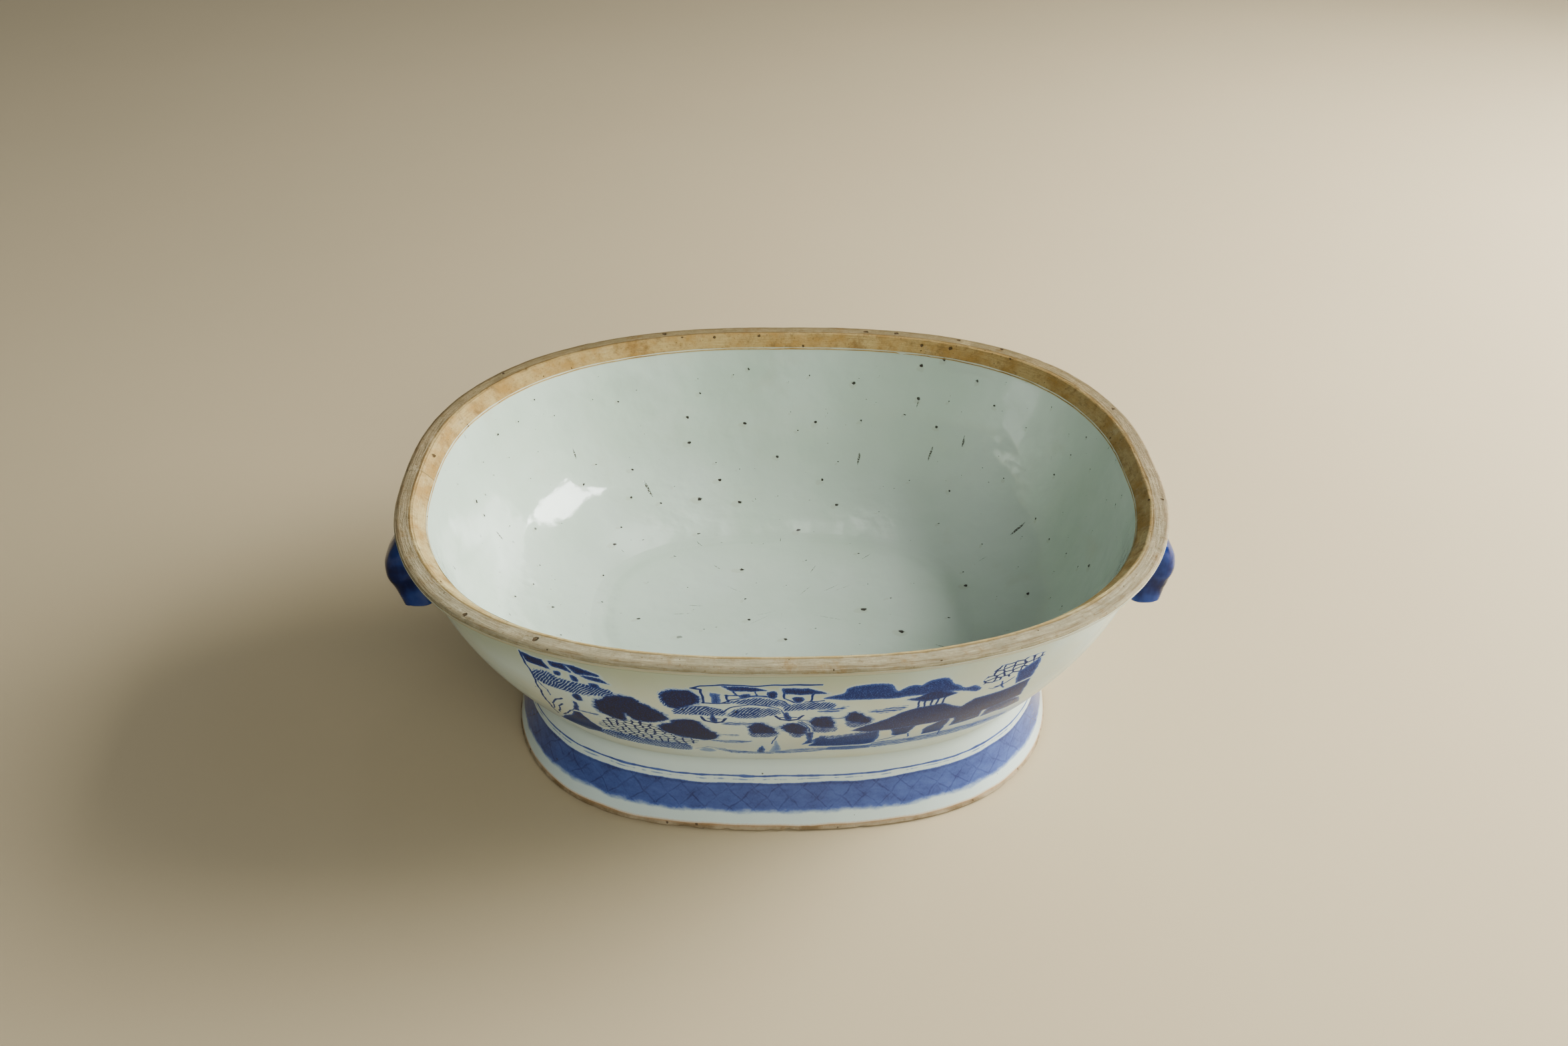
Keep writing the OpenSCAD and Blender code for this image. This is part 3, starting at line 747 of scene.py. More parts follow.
def inside_glaze():
    """The coat inside the bowl, with the slow ripples of throwing and a soft floor."""
    angles = even_angles(INSIDE_COLUMNS)
    heights = np.concatenate([
        np.linspace(SEAT_HEIGHT, FLOOR_HEIGHT + CORNER_RISE, 44)[:-1],
        FLOOR_HEIGHT + CORNER_RISE * np.linspace(1, 0, 30) ** 1.6,
    ])
    wall = np.array([inside_row(h) for h in heights])
    dish = np.linspace(1, 0.02, 36)[1:]
    level = FLOOR_HEIGHT - DISH_DEPTH * (1 - dish**2)
    crease = 0.55 * np.exp(-(((dish - 0.93) / 0.03) ** 2))
    floor = np.array([[*(wall[-1, :2] * t), FOOT_SQUARENESS, z] for t, z in zip(dish, level - crease)])
    visible = np.vstack([wall, floor])
    grid = oval_grid(visible, angles)
    step = np.hypot(np.diff(visible[:, 1]), np.diff(visible[:, 3]))
    depth = np.r_[0, np.cumsum(step)][:, None]
    fade = np.clip(depth / 12, 0, 1) * np.clip((depth[-1] - depth) / 60, 0, 1)
    ripple = 0.07 * np.sin(depth / 2.6 + 1.5 * wander(angles, 25, 1, 4)[None, :])
    ripple = ripple + 0.09 * wander(angles, 28, 10, 30)[None, :] * np.sin(depth / 9)
    swell = np.tanh(wander(angles, 26, 2, 9))[None, :] * np.sin(depth / depth[-1] * math.pi)
    ripple = np.maximum(ripple + 0.4 * (1 + swell), 0)
    shrink = 1 - ripple * fade / INSIDE_HALF_LENGTH
    grid[..., 0] *= shrink
    grid[..., 1] *= shrink
    edge = 0.15 * np.tanh(wander(angles, 27, 12, 60))
    grid[0, :, 2] += 0.14 + edge
    grid[1, :, 2] += 0.1
    under = grid[::-2].copy()
    under[..., :2] *= 1 + GLAZE / INSIDE_HALF_LENGTH
    under[..., 2] -= GLAZE * np.clip((FLOOR_HEIGHT + CORNER_RISE - under[..., 2]) / CORNER_RISE, 0, 1)
    seen = len(under)
    grid = np.concatenate([under, grid])
    run, _, _ = run_of(angles)
    from_middle = (depth[-1] - depth) * np.ones_like(angles)[None, :]
    pad = np.full((seen, len(angles)), 50.0)
    fields = {
        "run": np.broadcast_to(run, grid.shape[:2]),
        "depth": np.vstack([pad, depth + 0 * pad[:1]]),
        "flat_x": np.vstack([pad, from_middle * np.cos(angles)]),
        "flat_y": np.vstack([pad, from_middle * np.sin(angles)]),
    }
    return spun_piece("inside_coat", hand_made(grid), False, fields)


def wall_half_x(height):
    """How far the wall's outside stands out at the bowl's ends, at a height."""
    level = np.clip(wall_level(height), 0, 1)
    return wall_half(level[..., None])[..., 0]


def lug_stations(node, lean):
    """Stations down a lug: [x, z, turn, half thickness, half width]."""
    low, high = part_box(node)
    reach = max(abs(low[0]), abs(high[0])) / MM
    top, bottom = high[2] / MM, low[2] / MM
    half_wide = (high[1] - low[1]) / MM / 2
    half_thick, bend = LUG_HALF_THICKNESS, LUG_BEND
    turn = math.pi / 2 + lean
    centre = (reach - half_thick - bend, top - half_thick - bend)
    end = (centre[0] + bend * math.sin(turn), centre[1] + bend * math.cos(turn))
    hang = (end[1] - bottom) / math.cos(lean)
    stations = []
    for t in np.linspace(0, 1, 14)[:-1]:
        stations.append([centre[0] - LUG_ROOT * (1 - t), centre[1] + bend, 0, half_thick, half_wide])
    for t in np.linspace(0, 1, 26)[:-1]:
        angle = turn * t
        place = (centre[0] + bend * math.sin(angle), centre[1] + bend * math.cos(angle))
        stations.append([*place, angle, half_thick, half_wide * (1 - 0.04 * math.sin(math.pi * t))])
    for t in np.linspace(0, 1, 16):
        waist = 1 - 0.05 * math.sin(math.pi * t)
        place = (end[0] - hang * t * math.sin(lean), end[1] - hang * t * math.cos(lean))
        stations.append([*place, turn, half_thick * waist, half_wide * waist])
    return stations, bottom


def lug(name, node, side, lean):
    """A plain rounded lug in cobalt glaze; side is 1 for the right end and -1 for the left."""
    stations, bottom = lug_stations(node, math.radians(lean))
    angles = np.linspace(0, TAU, 72, endpoint=False)
    power = LUG_SQUARENESS
    fill = (np.abs(np.cos(angles)) ** power + np.abs(np.sin(angles)) ** power) ** (-1 / power)
    rings = []
    for x, z, turn, thick, wide in stations:
        across = thick * fill * np.sin(angles)
        ring = [x + across * math.sin(turn), -wide * fill * np.cos(angles), z + across * math.cos(turn)]
        rings.append(np.stack(ring, axis=-1))
    grid = np.array(rings)
    last = grid[-1].copy()
    middle = last.mean(0)
    ends = []
    for drop, shrink in [(0.1, 0.985), (0.6, 0.95), (1.0, 0.86), (1.1, 0.6), (1.1, 0.05)]:
        ring = middle + (last - middle) * shrink
        ring[:, 2] = bottom + 1.1 - drop
        ends.append(ring)
    grid[-1, :, 2] = bottom + 1.2
    grid[-2, :, 2] = np.maximum(grid[-2, :, 2], bottom + 1.6)
    grid = np.concatenate([grid, ends])
    grid[..., 0] -= 0.2 * np.abs(hand_wobble(grid[..., 1] * 0.6, grid[..., 2] * 0.6, 50 + side))
    root = wall_half_x(grid[..., 2]) - 2.5
    grid[..., 0] = np.where(grid[..., 0] < root, root, grid[..., 0])
    grid = grid[:, ::-1]
    if side < 0:
        grid = grid[:, ::-1] * np.array([-1, 1, 1])
    return spun_piece(name, grid[::-1], False)


# ---------------------------------------------------------------- materials

class Nodes:
    """A short way to write a material's node tree."""

    def __init__(self, name):
        self.material = bpy.data.materials.new(name)
        self.material.use_nodes = True
        self.tree = self.material.node_tree
        self.shader = self.tree.nodes["Principled BSDF"]

    def plug(self, socket, value):
        if isinstance(value, bpy.types.NodeSocket):
            self.tree.links.new(value, socket)
        elif isinstance(value, (tuple, list)) and len(value) == 3 and socket.type == "RGBA":
            socket.default_value = (*value, 1)
        else:
            socket.default_value = value

    def node(self, kind, **inputs):
        made = self.tree.nodes.new("ShaderNode" + kind)
        for key, value in inputs.items():
            self.plug(made.inputs[key.replace("_", " ")], value)
        return made

    def math(self, operation, a, b=0.0, c=0.0):
        made = self.tree.nodes.new("ShaderNodeMath")
        made.operation = operation
        for socket, value in zip(made.inputs, (a, b, c)):
            self.plug(socket, value)
        return made.outputs[0]

    def times(self, a, b):
        return self.math("MULTIPLY", a, b)

    def plus(self, a, b):
        return self.math("ADD", a, b)

    def most(self, a, b):
        return self.math("MAXIMUM", a, b)

    def scaled(self, value, factor, offset):
        return self.math("MULTIPLY_ADD", value, factor, offset)

    def gap(self, value, level):
        """How far value is from a level, either way."""
        return self.math("ABSOLUTE", self.math("SUBTRACT", value, level))

    def smooth(self, value, low, high, to_low=0.0, to_high=1.0):
        """Soft step of value from low to high."""
        made = self.tree.nodes.new("ShaderNodeMapRange")
        made.interpolation_type = "SMOOTHSTEP"
        for socket, setting in zip(made.inputs, (value, low, high, to_low, to_high)):
            self.plug(socket, setting)
        return made.outputs[0]

    def mix(self, amount, a, b, kind="MIX"):
        made = self.tree.nodes.new("ShaderNodeMix")
        made.data_type = "RGBA"
        made.blend_type = kind
        self.plug(made.inputs[0], amount)
        self.plug(made.inputs[6], a)
        self.plug(made.inputs[7], b)
        return made.outputs[2]

    def field(self, name):
        made = self.tree.nodes.new("ShaderNodeAttribute")
        made.attribute_name = name
        return made.outputs["Fac"]

    def point(self, x, y, z=0.0):
        return self.node("CombineXYZ", X=x, Y=y, Z=z).outputs[0]

    def place(self):
        """Position in the object's own frame, in metres."""
        return self.node("TexCoord").outputs["Object"]

    def noise(self, place, scale, detail=3.0, roughness=0.55):
        made = self.node("TexNoise", Vector=place, Scale=scale, Detail=detail, Roughness=roughness)
        return made.outputs["Fac"]

    def ramp(self, value, stops):
        made = self.tree.nodes.new("ShaderNodeValToRGB")
        self.plug(made.inputs[0], value)
        steps = made.color_ramp.elements
        while len(steps) < len(stops):
            steps.new(0.5)
        for step, (place, colour) in zip(steps, stops):
            step.position = place
            step.color = (*colour, 1)
        return made.outputs[0]

    def bump(self, height, distance, normal=None):
        made = self.node("Bump", Height=height, Strength=1.0, Distance=distance)
        if normal is not None:
            self.plug(made.inputs["Normal"], normal)
        return made.outputs[0]

    def finish(self, **sockets):
        for key, value in sockets.items():
            self.plug(self.shader.inputs[key.replace("_", " ")], value)
        return self.material


# Linear colours
GLAZE_PALE = (0.56, 0.66, 0.62)
GLAZE_WARM = (0.57, 0.61, 0.50)
INSIDE_PALE = (0.50, 0.575, 0.50)
INSIDE_DEEP = (0.44, 0.52, 0.43)
COBALT_STOPS = [
    (0.0, GLAZE_PALE),
    (0.2, (0.30, 0.39, 0.50)),
    (0.42, (0.085, 0.14, 0.37)),
    (0.68, (0.037, 0.055, 0.18)),
    (1.0, (0.046, 0.046, 0.082)),
]
SPECK = (0.05, 0.045, 0.035)
GRIME = (0.18, 0.125, 0.06)

CLEAR_COAT = {"IOR": 1.5, "Coat_Weight": 0.3, "Coat_Roughness": 0.05}


def glaze_skin(n, place, swelling=0.0003):
    """Faint orange peel, dimples and slow swells of thick glaze."""
    peel = n.noise(place, 420, 2.0)
    dimple = n.noise(place, 130, 2.0)
    swell = n.noise(place, 48, 2.0)
    normal = n.bump(peel, 0.00003)
    normal = n.bump(dimple, 0.2 * swelling, normal=normal)
    return n.bump(swell, swelling, normal=normal)


def specks(n, flat, spacing, size, share):
    """Mask of scattered specks on a flat map: spacing and size in its own units."""
    bend = n.node("TexNoise", Vector=flat, Scale=0.9 / size, Detail=2.0).outputs["Color"]
    bend = n.node("VectorMath", Vector=bend)
    bend.operation = "SCALE"
    n.plug(bend.inputs["Scale"], 1.1 * size)
    shaken = n.tree.nodes.new("ShaderNodeVectorMath")
    n.plug(shaken.inputs[0], flat)
    n.plug(shaken.inputs[1], bend.outputs[0])
    cells = n.node("TexVoronoi", Vector=shaken.outputs[0], Scale=1 / spacing, Randomness=1.0)
    cells.voronoi_dimensions = "2D"
    chance = n.node("SeparateColor", Color=cells.outputs["Color"])
    present = n.math("LESS_THAN", chance.outputs[0], share)
    spread = n.math("POWER", chance.outputs[1], 2.0)
    radius = n.scaled(spread, 0.65 * size / spacing, 0.15 * size / spacing)
    dot = n.smooth(cells.outputs["Distance"], n.times(radius, 0.6), radius, 1.0, 0.0)
    return n.times(dot, present)


def hatch(n, run, rise, lean, pitch, cover, seed):
    """Parallel brush strokes: lean is how far they slope, cover how much they fill."""
    shake = n.noise(n.point(run, rise, seed), 0.16, 2.0)
    across = n.plus(n.times(rise, lean), run)
    across = n.plus(across, n.times(shake, 3.0))
    wave = n.math("PINGPONG", across, pitch / 2)
    width = n.noise(n.point(run, n.times(rise, 0.4), seed + 3), 0.6, 2.0)
    limit = n.times(width, pitch * cover)
    return n.smooth(wave, limit, n.plus(limit, 0.22), 1.0, 0.0)


def network(n, run, rise, width):
    """Dark brush lines round small light cells, like overlapping leaves."""
    shake = n.noise(n.point(run, rise, 7.0), 0.35, 2.0)
    bent = n.point(n.scaled(shake, 2.4, run), n.times(rise, 1.3))
    cells = n.node("TexVoronoi", Vector=bent, Scale=1 / width, Randomness=0.6)
    cells.feature = "DISTANCE_TO_EDGE"
    cells.voronoi_dimensions = "2D"
    return n.smooth(n.scaled(shake, 0.06, cells.outputs["Distance"]), 0.09, 0.19, 1.0, 0.0)


def painted_wall():
    """Pale glaze over the hand-brushed cobalt scene."""
    n = Nodes("painted_wall")
    run, rise = n.field("run"), n.field("rise")
    flat = n.point(run, rise)
    grain = n.noise(flat, 0.9, 4.0, 0.6)
    dabs = n.noise(flat, 0.42, 3.0, 0.6)
    sweep = n.point(n.times(run, 1.4), n.times(rise, 0.4))
    streak = n.noise(sweep, 0.8, 3.0)
    edge = n.scaled(grain, 0.9, -0.45)
    tone, leafy = n.field("tone"), n.field("leafy")

    ragged = n.times(n.scaled(dabs, 3.6, -1.8), leafy)
    inside = n.plus(n.field("wash"), n.plus(edge, ragged))
    wash = n.smooth(inside, -0.25, 0.25, 1.0, 0.0)
    core = n.smooth(inside, -1.5, -0.1, 1.0, 0.66)
    mottled = n.plus(n.scaled(streak, 0.42, 0.66), n.times(dabs, 0.24))
    wash = n.times(wash, n.times(tone, n.times(core, mottled)))
    flecks = n.smooth(n.noise(flat, 2.2, 2.0), 0.5, 0.68, 1.0, 0.62)
    wash = n.times(wash, flecks)
    fringe = n.smooth(inside, 0.1, 1.4, 0.3, 0.0)
    fringe = n.times(fringe, n.times(leafy, hatch(n, rise, run, 0.3, 0.9, 0.5, 4.0)))

    stroke = n.smooth(n.field("stroke"), -0.22, 0.2, 1.0, 0.0)
    stroke = n.times(stroke, n.scaled(grain, 0.6, 0.42))

    loose = n.times(edge, 3.4)
    blade_area = n.smooth(n.plus(n.field("blades"), loose), -0.9, 0.5, 1.0, 0.0)
    blade_lines = hatch(n, run, rise, -0.75, 1.2, 0.5, 1.0)
    blades = n.times(blade_area, n.scaled(blade_lines, 0.5, 0.13))

    ripple_area = n.smooth(n.plus(n.field("ripples"), loose), -1.2, 0.6, 1.0, 0.0)
    ripple_lines = hatch(n, rise, run, 0.03, 1.5, 0.55, 5.0)
    ripples = n.times(ripple_area, n.scaled(ripple_lines, 0.42, 0.07))

    scale_area = n.smooth(n.plus(n.field("scales"), edge), -0.5, 0.4, 1.0, 0.0)
    scale_lines = network(n, run, rise, 3.2)
    scales = n.times(scale_area, n.scaled(scale_lines, 0.8, 0.04))

    density = n.most(n.most(wash, stroke), n.most(blades, ripples))
    density = n.most(n.most(density, scales), fringe)
    bleed = n.times(n.smooth(inside, 0.0, 1.6, 0.10, 0.0), tone)
    density = n.most(density, bleed)
    colour = n.ramp(density, COBALT_STOPS)

    place = n.place()
    cloud = n.noise(place, 26, 3.0)
    clear = n.mix(n.smooth(cloud, 0.3, 0.7), GLAZE_PALE, GLAZE_WARM)
    right = n.node("SeparateXYZ", Vector=place).outputs["X"]
    # Painted shade: below the lip the glaze turns darker and more olive, fully on the left half and fading
    # out towards the right end, for the lip's shadow on the side away from the light.
    painted_lip_shade = n.times(n.smooth(rise, RISE_LIP - 32, RISE_LIP - 10), n.smooth(right, 0.0, 0.11, 0.65, 0.0))
    clear = n.mix(painted_lip_shade, clear, (0.34, 0.37, 0.24))
    clear = n.mix(n.smooth(rise, RISE_LIP - 1.6, RISE_LIP, 0.0, 0.55), clear, (0.46, 0.36, 0.24))
    # Painted shade: the glaze darkens just above the foot joint, in the crease under the bowl's overhang.
    clear = n.mix(n.smooth(rise, RISE_JOINT, RISE_JOINT + 3, 0.5, 0.0), clear, (0.40, 0.48, 0.45))
    colour = n.mix(n.smooth(density, 0.0, 0.12), clear, colour)
    colour = n.mix(n.times(specks(n, flat, 19, 0.8, 0.35), 0.8), colour, SPECK)
    roughness = n.scaled(cloud, 0.12, 0.1)
    return n.finish(Base_Color=colour, Roughness=roughness, Normal=glaze_skin(n, place),
                    Specular_IOR_Level=0.08)


def painted_foot():
    """Pale glaze over a thin blue line and a broad latticed cobalt band."""
    n = Nodes("painted_foot")
    run, rise = n.field("run"), n.field("rise")
    flat = n.point(run, rise)
    slow = n.noise(n.point(n.times(run, 0.25), rise), 0.16, 2.0)
    grain = n.noise(flat, 0.8, 4.0, 0.6)
    cloud = n.noise(n.point(n.times(run, 0.5), rise), 0.2, 4.0, 0.6)
    drift = n.scaled(slow, 2.4, -1.2)
    level = n.plus(rise, drift)

    upper = n.plus(level, n.times(grain, 0.5))
    lower = n.plus(level, n.times(cloud, 3.0))
    top = n.smooth(upper, FOOT_BAND[1] - 0.3, FOOT_BAND[1] + 0.5, 1.0, 0.0)
    low = n.smooth(lower, FOOT_BAND[0] - 0.6, FOOT_BAND[0] + 3.2)
    band = n.times(top, low)

    def diagonal(slope, pitch, width, seed):
        shake = n.noise(n.point(run, rise, seed), 0.1, 2.0)
        across = n.plus(n.times(rise, slope), run)
        across = n.plus(across, n.times(shake, 7.0))
        wave = n.math("PINGPONG", across, pitch / 2)
        return n.smooth(wave, width * 0.3, width, 1.0, 0.0)

    wide = n.most(diagonal(1.1, 11.5, 0.75, 2.0), diagonal(-1.1, 11.5, 0.75, 9.0))
    close = n.most(diagonal(0.9, 5.2, 0.5, 14.0), diagonal(-0.9, 5.2, 0.5, 19.0))
    close = n.times(close, n.smooth(cloud, 0.45, 0.6))
    edge_line = n.smooth(upper, FOOT_BAND[1] - 1.8, FOOT_BAND[1] - 0.4)
    tone = n.scaled(cloud, 0.36, 0.28)
    seen = n.smooth(n.noise(flat, 0.12, 2.0), 0.35, 0.6, 0.03, 0.10)
    tone = n.plus(tone, n.times(wide, seen))
    tone = n.plus(tone, n.times(close, 0.04))
    tone = n.plus(tone, n.times(edge_line, 0.08))
    tone = n.plus(tone, n.times(grain, 0.12))
    band = n.times(band, tone)

    line_gap = n.gap(level, FOOT_LINE)
    swell = n.noise(n.point(n.times(run, 0.4), 0.0), 0.3, 3.0)
    line_width = n.scaled(swell, 1.0, -0.25)
    line = n.smooth(line_gap, line_width, n.plus(line_width, 0.35), 1.0, 0.0)
    line = n.times(line, n.scaled(cloud, 0.6, 0.2))
    twin_gap = n.gap(level, FOOT_LINE - 1.5)
    twin = n.times(n.smooth(twin_gap, 0.05, 0.5, 0.3, 0.0), n.smooth(swell, 0.42, 0.6))

    density = n.most(n.most(band, line), twin)
    colour = n.ramp(density, COBALT_STOPS)
    place = n.place()
    # Painted shade: the foot's glaze darkens towards the joint, in the crease under the bowl's overhang.
    painted_joint_shade = n.smooth(rise, RISE_JOINT - 5, RISE_JOINT, 0.0, 0.6)
    clear = n.mix(painted_joint_shade, GLAZE_PALE, (0.42, 0.50, 0.46))
    fringe = n.smooth(n.plus(rise, grain), BARE_EDGE + 0.5, BARE_EDGE + 1.7, 0.75, 0.0)
    clear = n.mix(fringe, clear, (0.56, 0.40, 0.24))
    colour = n.mix(n.smooth(density, 0.0, 0.12), clear, colour)
    colour = n.mix(n.times(specks(n, flat, 15, 0.8, 0.4), 0.8), colour, SPECK)
    roughness = n.scaled(cloud, 0.1, 0.07)
    return n.finish(Base_Color=colour, Roughness=roughness, Normal=glaze_skin(n, place),
                    **CLEAR_COAT)


def inner_glaze():
    """Thick grey-green glaze with iron specks and a few short scratches."""
    n = Nodes("inner_glaze")
    place = n.place()
    flat = n.point(n.field("flat_x"), n.field("flat_y"))
    cloud = n.noise(place, 14, 3.0)
    colour = n.mix(n.smooth(cloud, 0.3, 0.7), INSIDE_PALE, INSIDE_DEEP)
    blush = n.noise(place, 45, 4.0)
    colour = n.mix(n.smooth(blush, 0.6, 0.78, 0.0, 0.25), colour, (0.42, 0.42, 0.32))
    halo = specks(n, flat, 14, 2.7, 0.75)
    toward = n.scaled(n.field("flat_x"), 0.5, n.field("flat_y"))
    crowd = n.scaled(n.noise(flat, 0.03, 1.0), 260.0, toward)
    crowd = n.smooth(crowd, 60, 100)
    halo = n.times(halo, crowd)
    colour = n.mix(n.times(halo, 0.2), colour, (0.33, 0.31, 0.20))
    dots = specks(n, flat, 14, 1.2, 0.75)
    dots = n.times(dots, crowd)
    colour = n.mix(dots, colour, SPECK)
    fine_dots = specks(n, flat, 9, 0.45, 0.3)
    colour = n.mix(n.times(fine_dots, 0.6), colour, (0.15, 0.15, 0.12))
    upright = n.point(n.field("run"), n.times(n.field("depth"), 0.16))
    scratch = specks(n, upright, 13, 1.3, 0.4)
    broken = n.smooth(n.noise(flat, 1.6, 2.0), 0.4, 0.52)
    scratch = n.times(scratch, broken)
    colour = n.mix(n.times(scratch, 0.9), colour, (0.07, 0.055, 0.035))
    rim_edge = n.smooth(n.field("depth"), 0.2, 1.6, 0.5, 0.0)
    colour = n.mix(rim_edge, colour, (0.50, 0.44, 0.30))
    roughness = n.scaled(blush, 0.1, 0.05)
    pits = n.times(n.most(dots, scratch), -1.0)
    normal = n.bump(pits, 0.0003, normal=glaze_skin(n, place, 0.0009))
    return n.finish(Base_Color=colour, Roughness=roughness, Normal=normal,
                    **CLEAR_COAT)


def bare_porcelain():
    """Toasted bare porcelain of the rim: tool lines, stains, grit and dirt in the low places."""
    n = Nodes("bare_porcelain")
    run, across = n.field("run"), n.field("across")
    width = n.times(across, 16.0)
    flat = n.point(run, width)
    place = n.place()
    tooled = n.point(n.times(run, 0.13), n.times(width, 1.5))
    lines = n.noise(tooled, 1.0, 5.0, 0.7)
    long_blotch = n.point(n.times(run, 0.08), n.times(width, 0.1))
    blotch = n.noise(long_blotch, 1.0, 4.0, 0.6)
    stain = n.noise(place, 75, 5.0, 0.7)
    grain = n.noise(place, 900, 3.0, 0.6)
    outer = n.mix(n.smooth(lines, 0.3, 0.7), (0.22, 0.175, 0.10), (0.37, 0.31, 0.20))
    outer = n.mix(n.smooth(blotch, 0.4, 0.65, 0.0, 0.55), outer, (0.22, 0.19, 0.12))
    inner = n.mix(n.smooth(blotch, 0.35, 0.7), (0.50, 0.40, 0.21), (0.37, 0.235, 0.08))
    inner = n.mix(n.smooth(lines, 0.35, 0.65, 0.0, 0.4), inner, (0.33, 0.24, 0.12))
    colour = n.mix(n.smooth(across, 0.42, 0.50), outer, inner)
    colour = n.mix(n.smooth(stain, 0.55, 0.72, 0.0, 0.8), colour, (0.22, 0.135, 0.055))
    colour = n.mix(n.smooth(stain, 0.42, 0.30, 0.0, 0.45), colour, (0.52, 0.45, 0.30))
    mottle = n.noise(place, 260, 4.0, 0.7)
    colour = n.mix(n.smooth(mottle, 0.5, 0.72, 0.0, 0.5), colour, GRIME)
    ridge = n.gap(across, 0.2)
    ridge = n.times(n.smooth(ridge, 0.02, 0.07, 1.0, 0.0), n.smooth(lines, 0.4, 0.62))
    colour = n.mix(n.times(ridge, 0.75), colour, (0.12, 0.075, 0.03))
    crease = n.smooth(n.gap(across, 0.46), 0.0, 0.035, 0.8, 0.0)
    colour = n.mix(n.times(crease, n.smooth(blotch, 0.25, 0.5)), colour, (0.15, 0.095, 0.035))
    colour = n.mix(n.smooth(across, 0.04, 0.0, 0.0, 0.5), colour, (0.46, 0.37, 0.24))
    pits = specks(n, flat, 6.5, 1.5, 0.2)
    colour = n.mix(n.times(pits, 0.85), colour, (0.06, 0.035, 0.015))
    grit = specks(n, flat, 2.0, 0.5, 0.3)
    colour = n.mix(n.times(grit, 0.5), colour, (0.12, 0.075, 0.035))
    colour = n.mix(n.smooth(grain, 0.45, 0.8, 0.0, 0.3), colour, GRIME)
    # Painted light: the rim is lighter and bluer towards the front, a painted sheen, and darker and
    # yellower towards the back, a painted shade.
    from_middle = n.node("SeparateXYZ", Vector=place).outputs["Y"]
    painted_rim_sheen_and_shade = n.mix(n.smooth(from_middle, -0.11, 0.0), (1.22, 1.33, 1.40), (0.94, 0.93, 0.88))
    painted_rim_sheen_and_shade = n.mix(n.smooth(from_middle, 0.0, 0.1), painted_rim_sheen_and_shade, (0.78, 0.75, 0.62))
    colour = n.mix(1.0, colour, painted_rim_sheen_and_shade, "MULTIPLY")
    under = n.math("LESS_THAN", across, 0.0)
    below = n.mix(n.smooth(stain, 0.35, 0.65), (0.50, 0.43, 0.31), (0.36, 0.27, 0.15))
    colour = n.mix(under, colour, below)
    roughness = n.scaled(grain, 0.25, 0.65)
    relief = n.bump(lines, 0.00035, normal=n.bump(grain, 0.00015))
    relief = n.bump(n.times(pits, -1.0), 0.0005, normal=relief)
    return n.finish(Base_Color=colour, Roughness=roughness, Normal=relief, Specular_IOR_Level=0.2)


def foot_porcelain():
    """Bare porcelain of the foot: toasted orange-brown at the glaze's edge, worn grey below."""
    n = Nodes("foot_porcelain")
    place = n.place()
    run, rise = n.field("run"), n.field("rise")
    flat = n.point(run, rise)
    stain = n.noise(place, 90, 5.0, 0.7)
    grain = n.noise(place, 900, 3.0, 0.6)
    colour = n.mix(n.smooth(stain, 0.35, 0.65), (0.36, 0.30, 0.20), (0.21, 0.155, 0.085))
    colour = n.mix(n.smooth(rise, 1.7, 3.0, 0.0, 0.55), colour, (0.46, 0.29, 0.15))
    colour = n.mix(n.smooth(rise, 0.0, 0.6, 0.6, 0.0), colour, (0.16, 0.12, 0.07))
    pits = specks(n, flat, 3.4, 1.0, 0.25)
    colour = n.mix(n.times(pits, 0.7), colour, (0.08, 0.05, 0.03))
    relief = n.bump(n.times(pits, -1.0), 0.0004, normal=n.bump(stain, 0.0008))
    relief = n.bump(grain, 0.0002, normal=relief)
    roughness = n.scaled(grain, 0.25, 0.6)
    return n.finish(Base_Color=colour, Roughness=roughness, Normal=relief, Specular_IOR_Level=0.2)


def cobalt_glaze():
    """Deep cobalt under clear glaze: thin and bright in places, pooled nearly black in others."""
    n = Nodes("cobalt_glaze")
    place = n.place()
    cloud = n.noise(place, 60, 3.0, 0.5)
    drawn = n.node("Mapping", Vector=place, Scale=(1.0, 1.0, 0.3)).outputs[0]
    streak = n.noise(drawn, 160, 3.0)
    amount = n.plus(cloud, n.scaled(streak, 0.3, -0.15))
    colour = n.ramp(amount, [
        (0.34, (0.004, 0.007, 0.035)),
        (0.50, (0.009, 0.02, 0.10)),
        (0.62, (0.024, 0.054, 0.21)),
        (0.80, (0.06, 0.10, 0.28)),
    ])
    roughness = n.scaled(streak, 0.1, 0.06)
    return n.finish(Base_Color=colour, Roughness=roughness, Normal=glaze_skin(n, place),
                    Specular_IOR_Level=0.45)


# ---------------------------------------------------------------- assembly

def dress(piece, material, node):
    piece.data.materials.append(material)
    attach(piece, "root")
    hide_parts(node)
    return piece


wall_material = painted_wall()
dress(wall_glaze("wall_coat_front", 0.0), wall_material, "outside_glaze")
dress(wall_glaze("wall_coat_back", math.pi), wall_material, "outside_glaze")
dress(foot_glaze(), painted_foot(), "outside_glaze")
dress(bare_body(), bare_porcelain(), "bowl_body")
dress(bare_foot(), foot_porcelain(), "foot_ring")
dress(inside_glaze(), inner_glaze(), "inside_glaze")
lug_material = cobalt_glaze()
dress(lug("lug_right", "handle_right", 1, 12), lug_material, "handle_right")
dress(lug("lug_left", "handle_left", -1, 17), lug_material, "handle_left")


# ---------------------------------------------------------------- stage, light and camera

# Lengths from here on are metres
FLOOR_HALF = 3.0
BOWL_MIDDLE = (0, 0, 0.07)
CAMERA_PLACE = (-0.0072, -0.4188, 0.4042)
CAMERA_PITCH = 37
CAMERA_TURN = -1.09
LENS_LENGTH = 29.33
WHITE = (1.0, 1.0, 1.0)


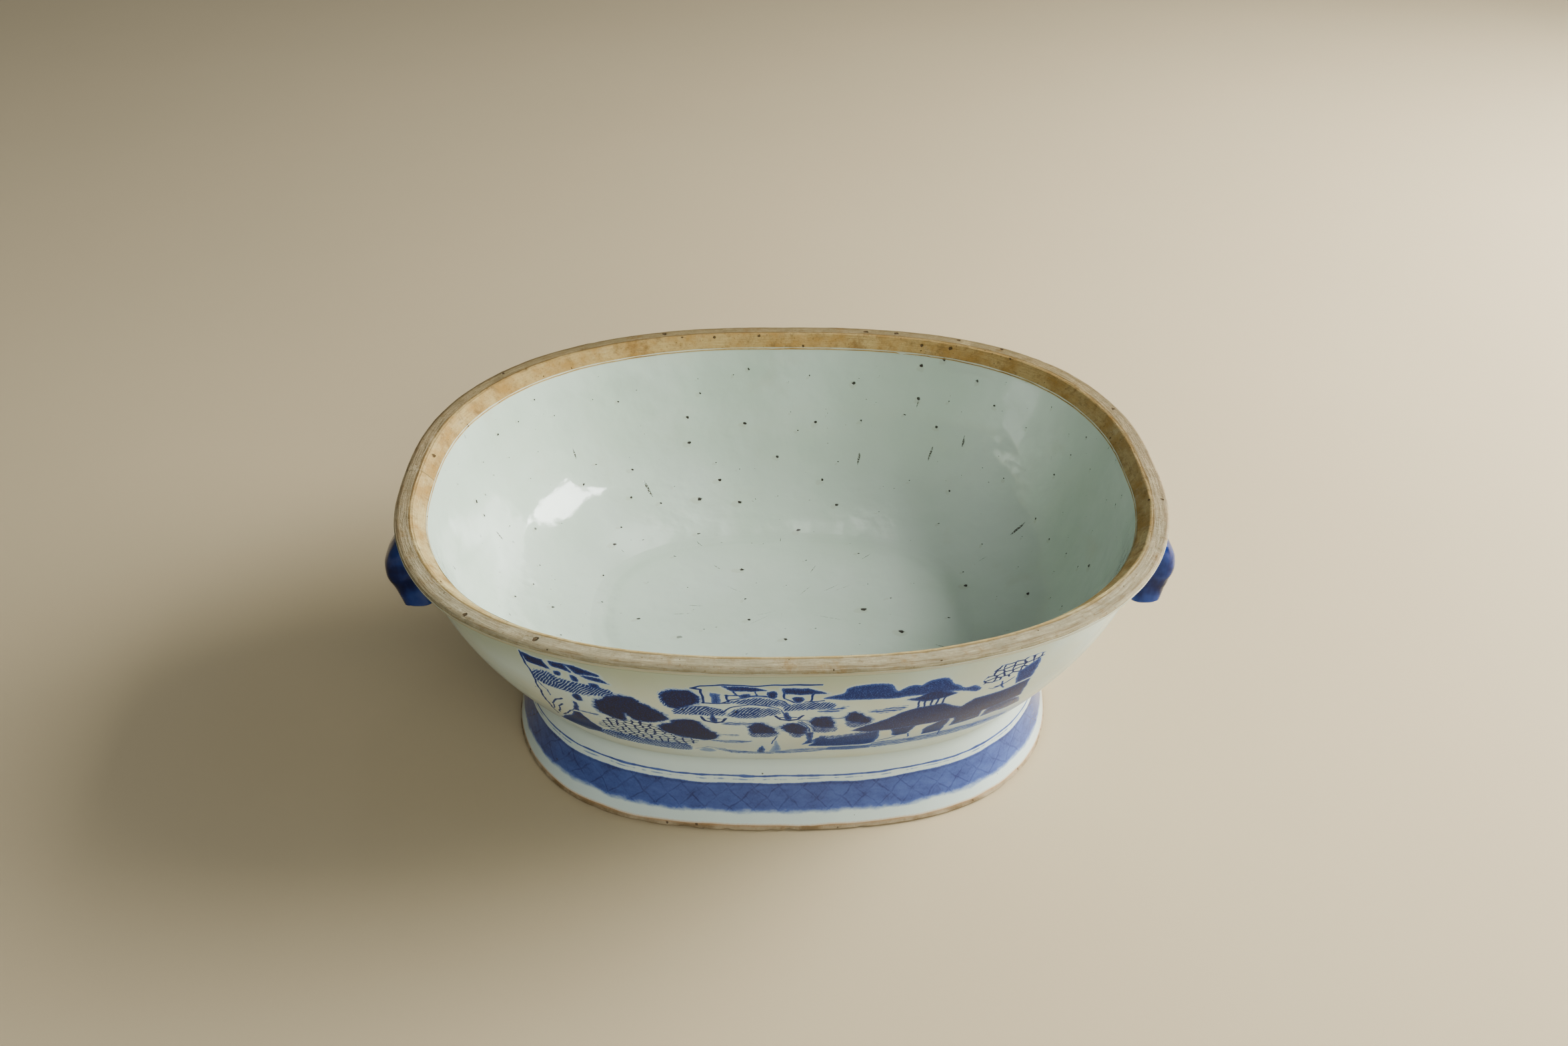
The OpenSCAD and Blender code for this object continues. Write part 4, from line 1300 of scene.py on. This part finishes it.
def floor():
    mesh = bpy.data.meshes.new("floor")
    corners = [(-1, -1), (1, -1), (1, 1), (-1, 1)]
    mesh.from_pydata([(FLOOR_HALF * x, FLOOR_HALF * y, 0) for x, y in corners], [], [(0, 1, 2, 3)])
    plane = bpy.data.objects.new("floor", mesh)
    bpy.context.scene.collection.objects.link(plane)
    n = Nodes("pale_floor")
    soft = n.noise(n.place(), 3.0, 3.0)
    colour = n.mix(soft, (0.44, 0.37, 0.24), (0.48, 0.405, 0.265))
    mesh.materials.append(n.finish(Base_Color=colour, Roughness=0.9))


def area_light(name, place, size, power, colour, mirrored=True, lights_surfaces=True):
    """A rectangle of light aimed at the bowl. It can be left out of reflections, or show only there."""
    lamp = bpy.data.lights.new(name, "AREA")
    lamp.shape = "RECTANGLE"
    lamp.size, lamp.size_y = size
    lamp.energy = power
    lamp.color = colour
    holder = bpy.data.objects.new(name, lamp)
    holder.location = place
    holder.rotation_euler = (Vector(BOWL_MIDDLE) - Vector(place)).to_track_quat("-Z", "Y").to_euler()
    holder.visible_glossy = mirrored
    holder.visible_diffuse = lights_surfaces
    bpy.context.scene.collection.objects.link(holder)


def surroundings(strength, colour):
    world = bpy.data.worlds.new("surroundings")
    world.use_nodes = True
    background = world.node_tree.nodes["Background"]
    background.inputs["Color"].default_value = (*colour, 1)
    background.inputs["Strength"].default_value = strength
    bpy.context.scene.world = world


def camera():
    lens = bpy.data.cameras.new("camera")
    lens.lens = LENS_LENGTH
    lens.sensor_width = 36
    holder = bpy.data.objects.new("camera", lens)
    holder.location = CAMERA_PLACE
    holder.rotation_euler = (math.radians(90 - CAMERA_PITCH), 0, math.radians(CAMERA_TURN))
    bpy.context.scene.collection.objects.link(holder)
    bpy.context.scene.camera = holder
    bpy.context.scene.view_settings.look = "AgX - Medium High Contrast"


floor()
area_light("window_right", (1.2, 0.2, 0.75), (0.85, 0.8), 44, (1.0, 0.985, 0.96), mirrored=False)
area_light("window_pane", (1.15, -0.06, 0.92), (0.95, 1.05), 58, WHITE, lights_surfaces=False)
area_light("window_low", (1.25, 0.62, 0.32), (0.5, 0.45), 14, WHITE, lights_surfaces=False)
area_light("window_behind", (0.12, 0.62, 1.35), (0.16, 0.24), 0.25, WHITE)
area_light("front_fill", (0.5, -1.35, 1.0), (1.2, 1.0), 14, (0.99, 0.99, 0.97), mirrored=False)
surroundings(0.24, (0.93, 0.97, 1.0))
camera()
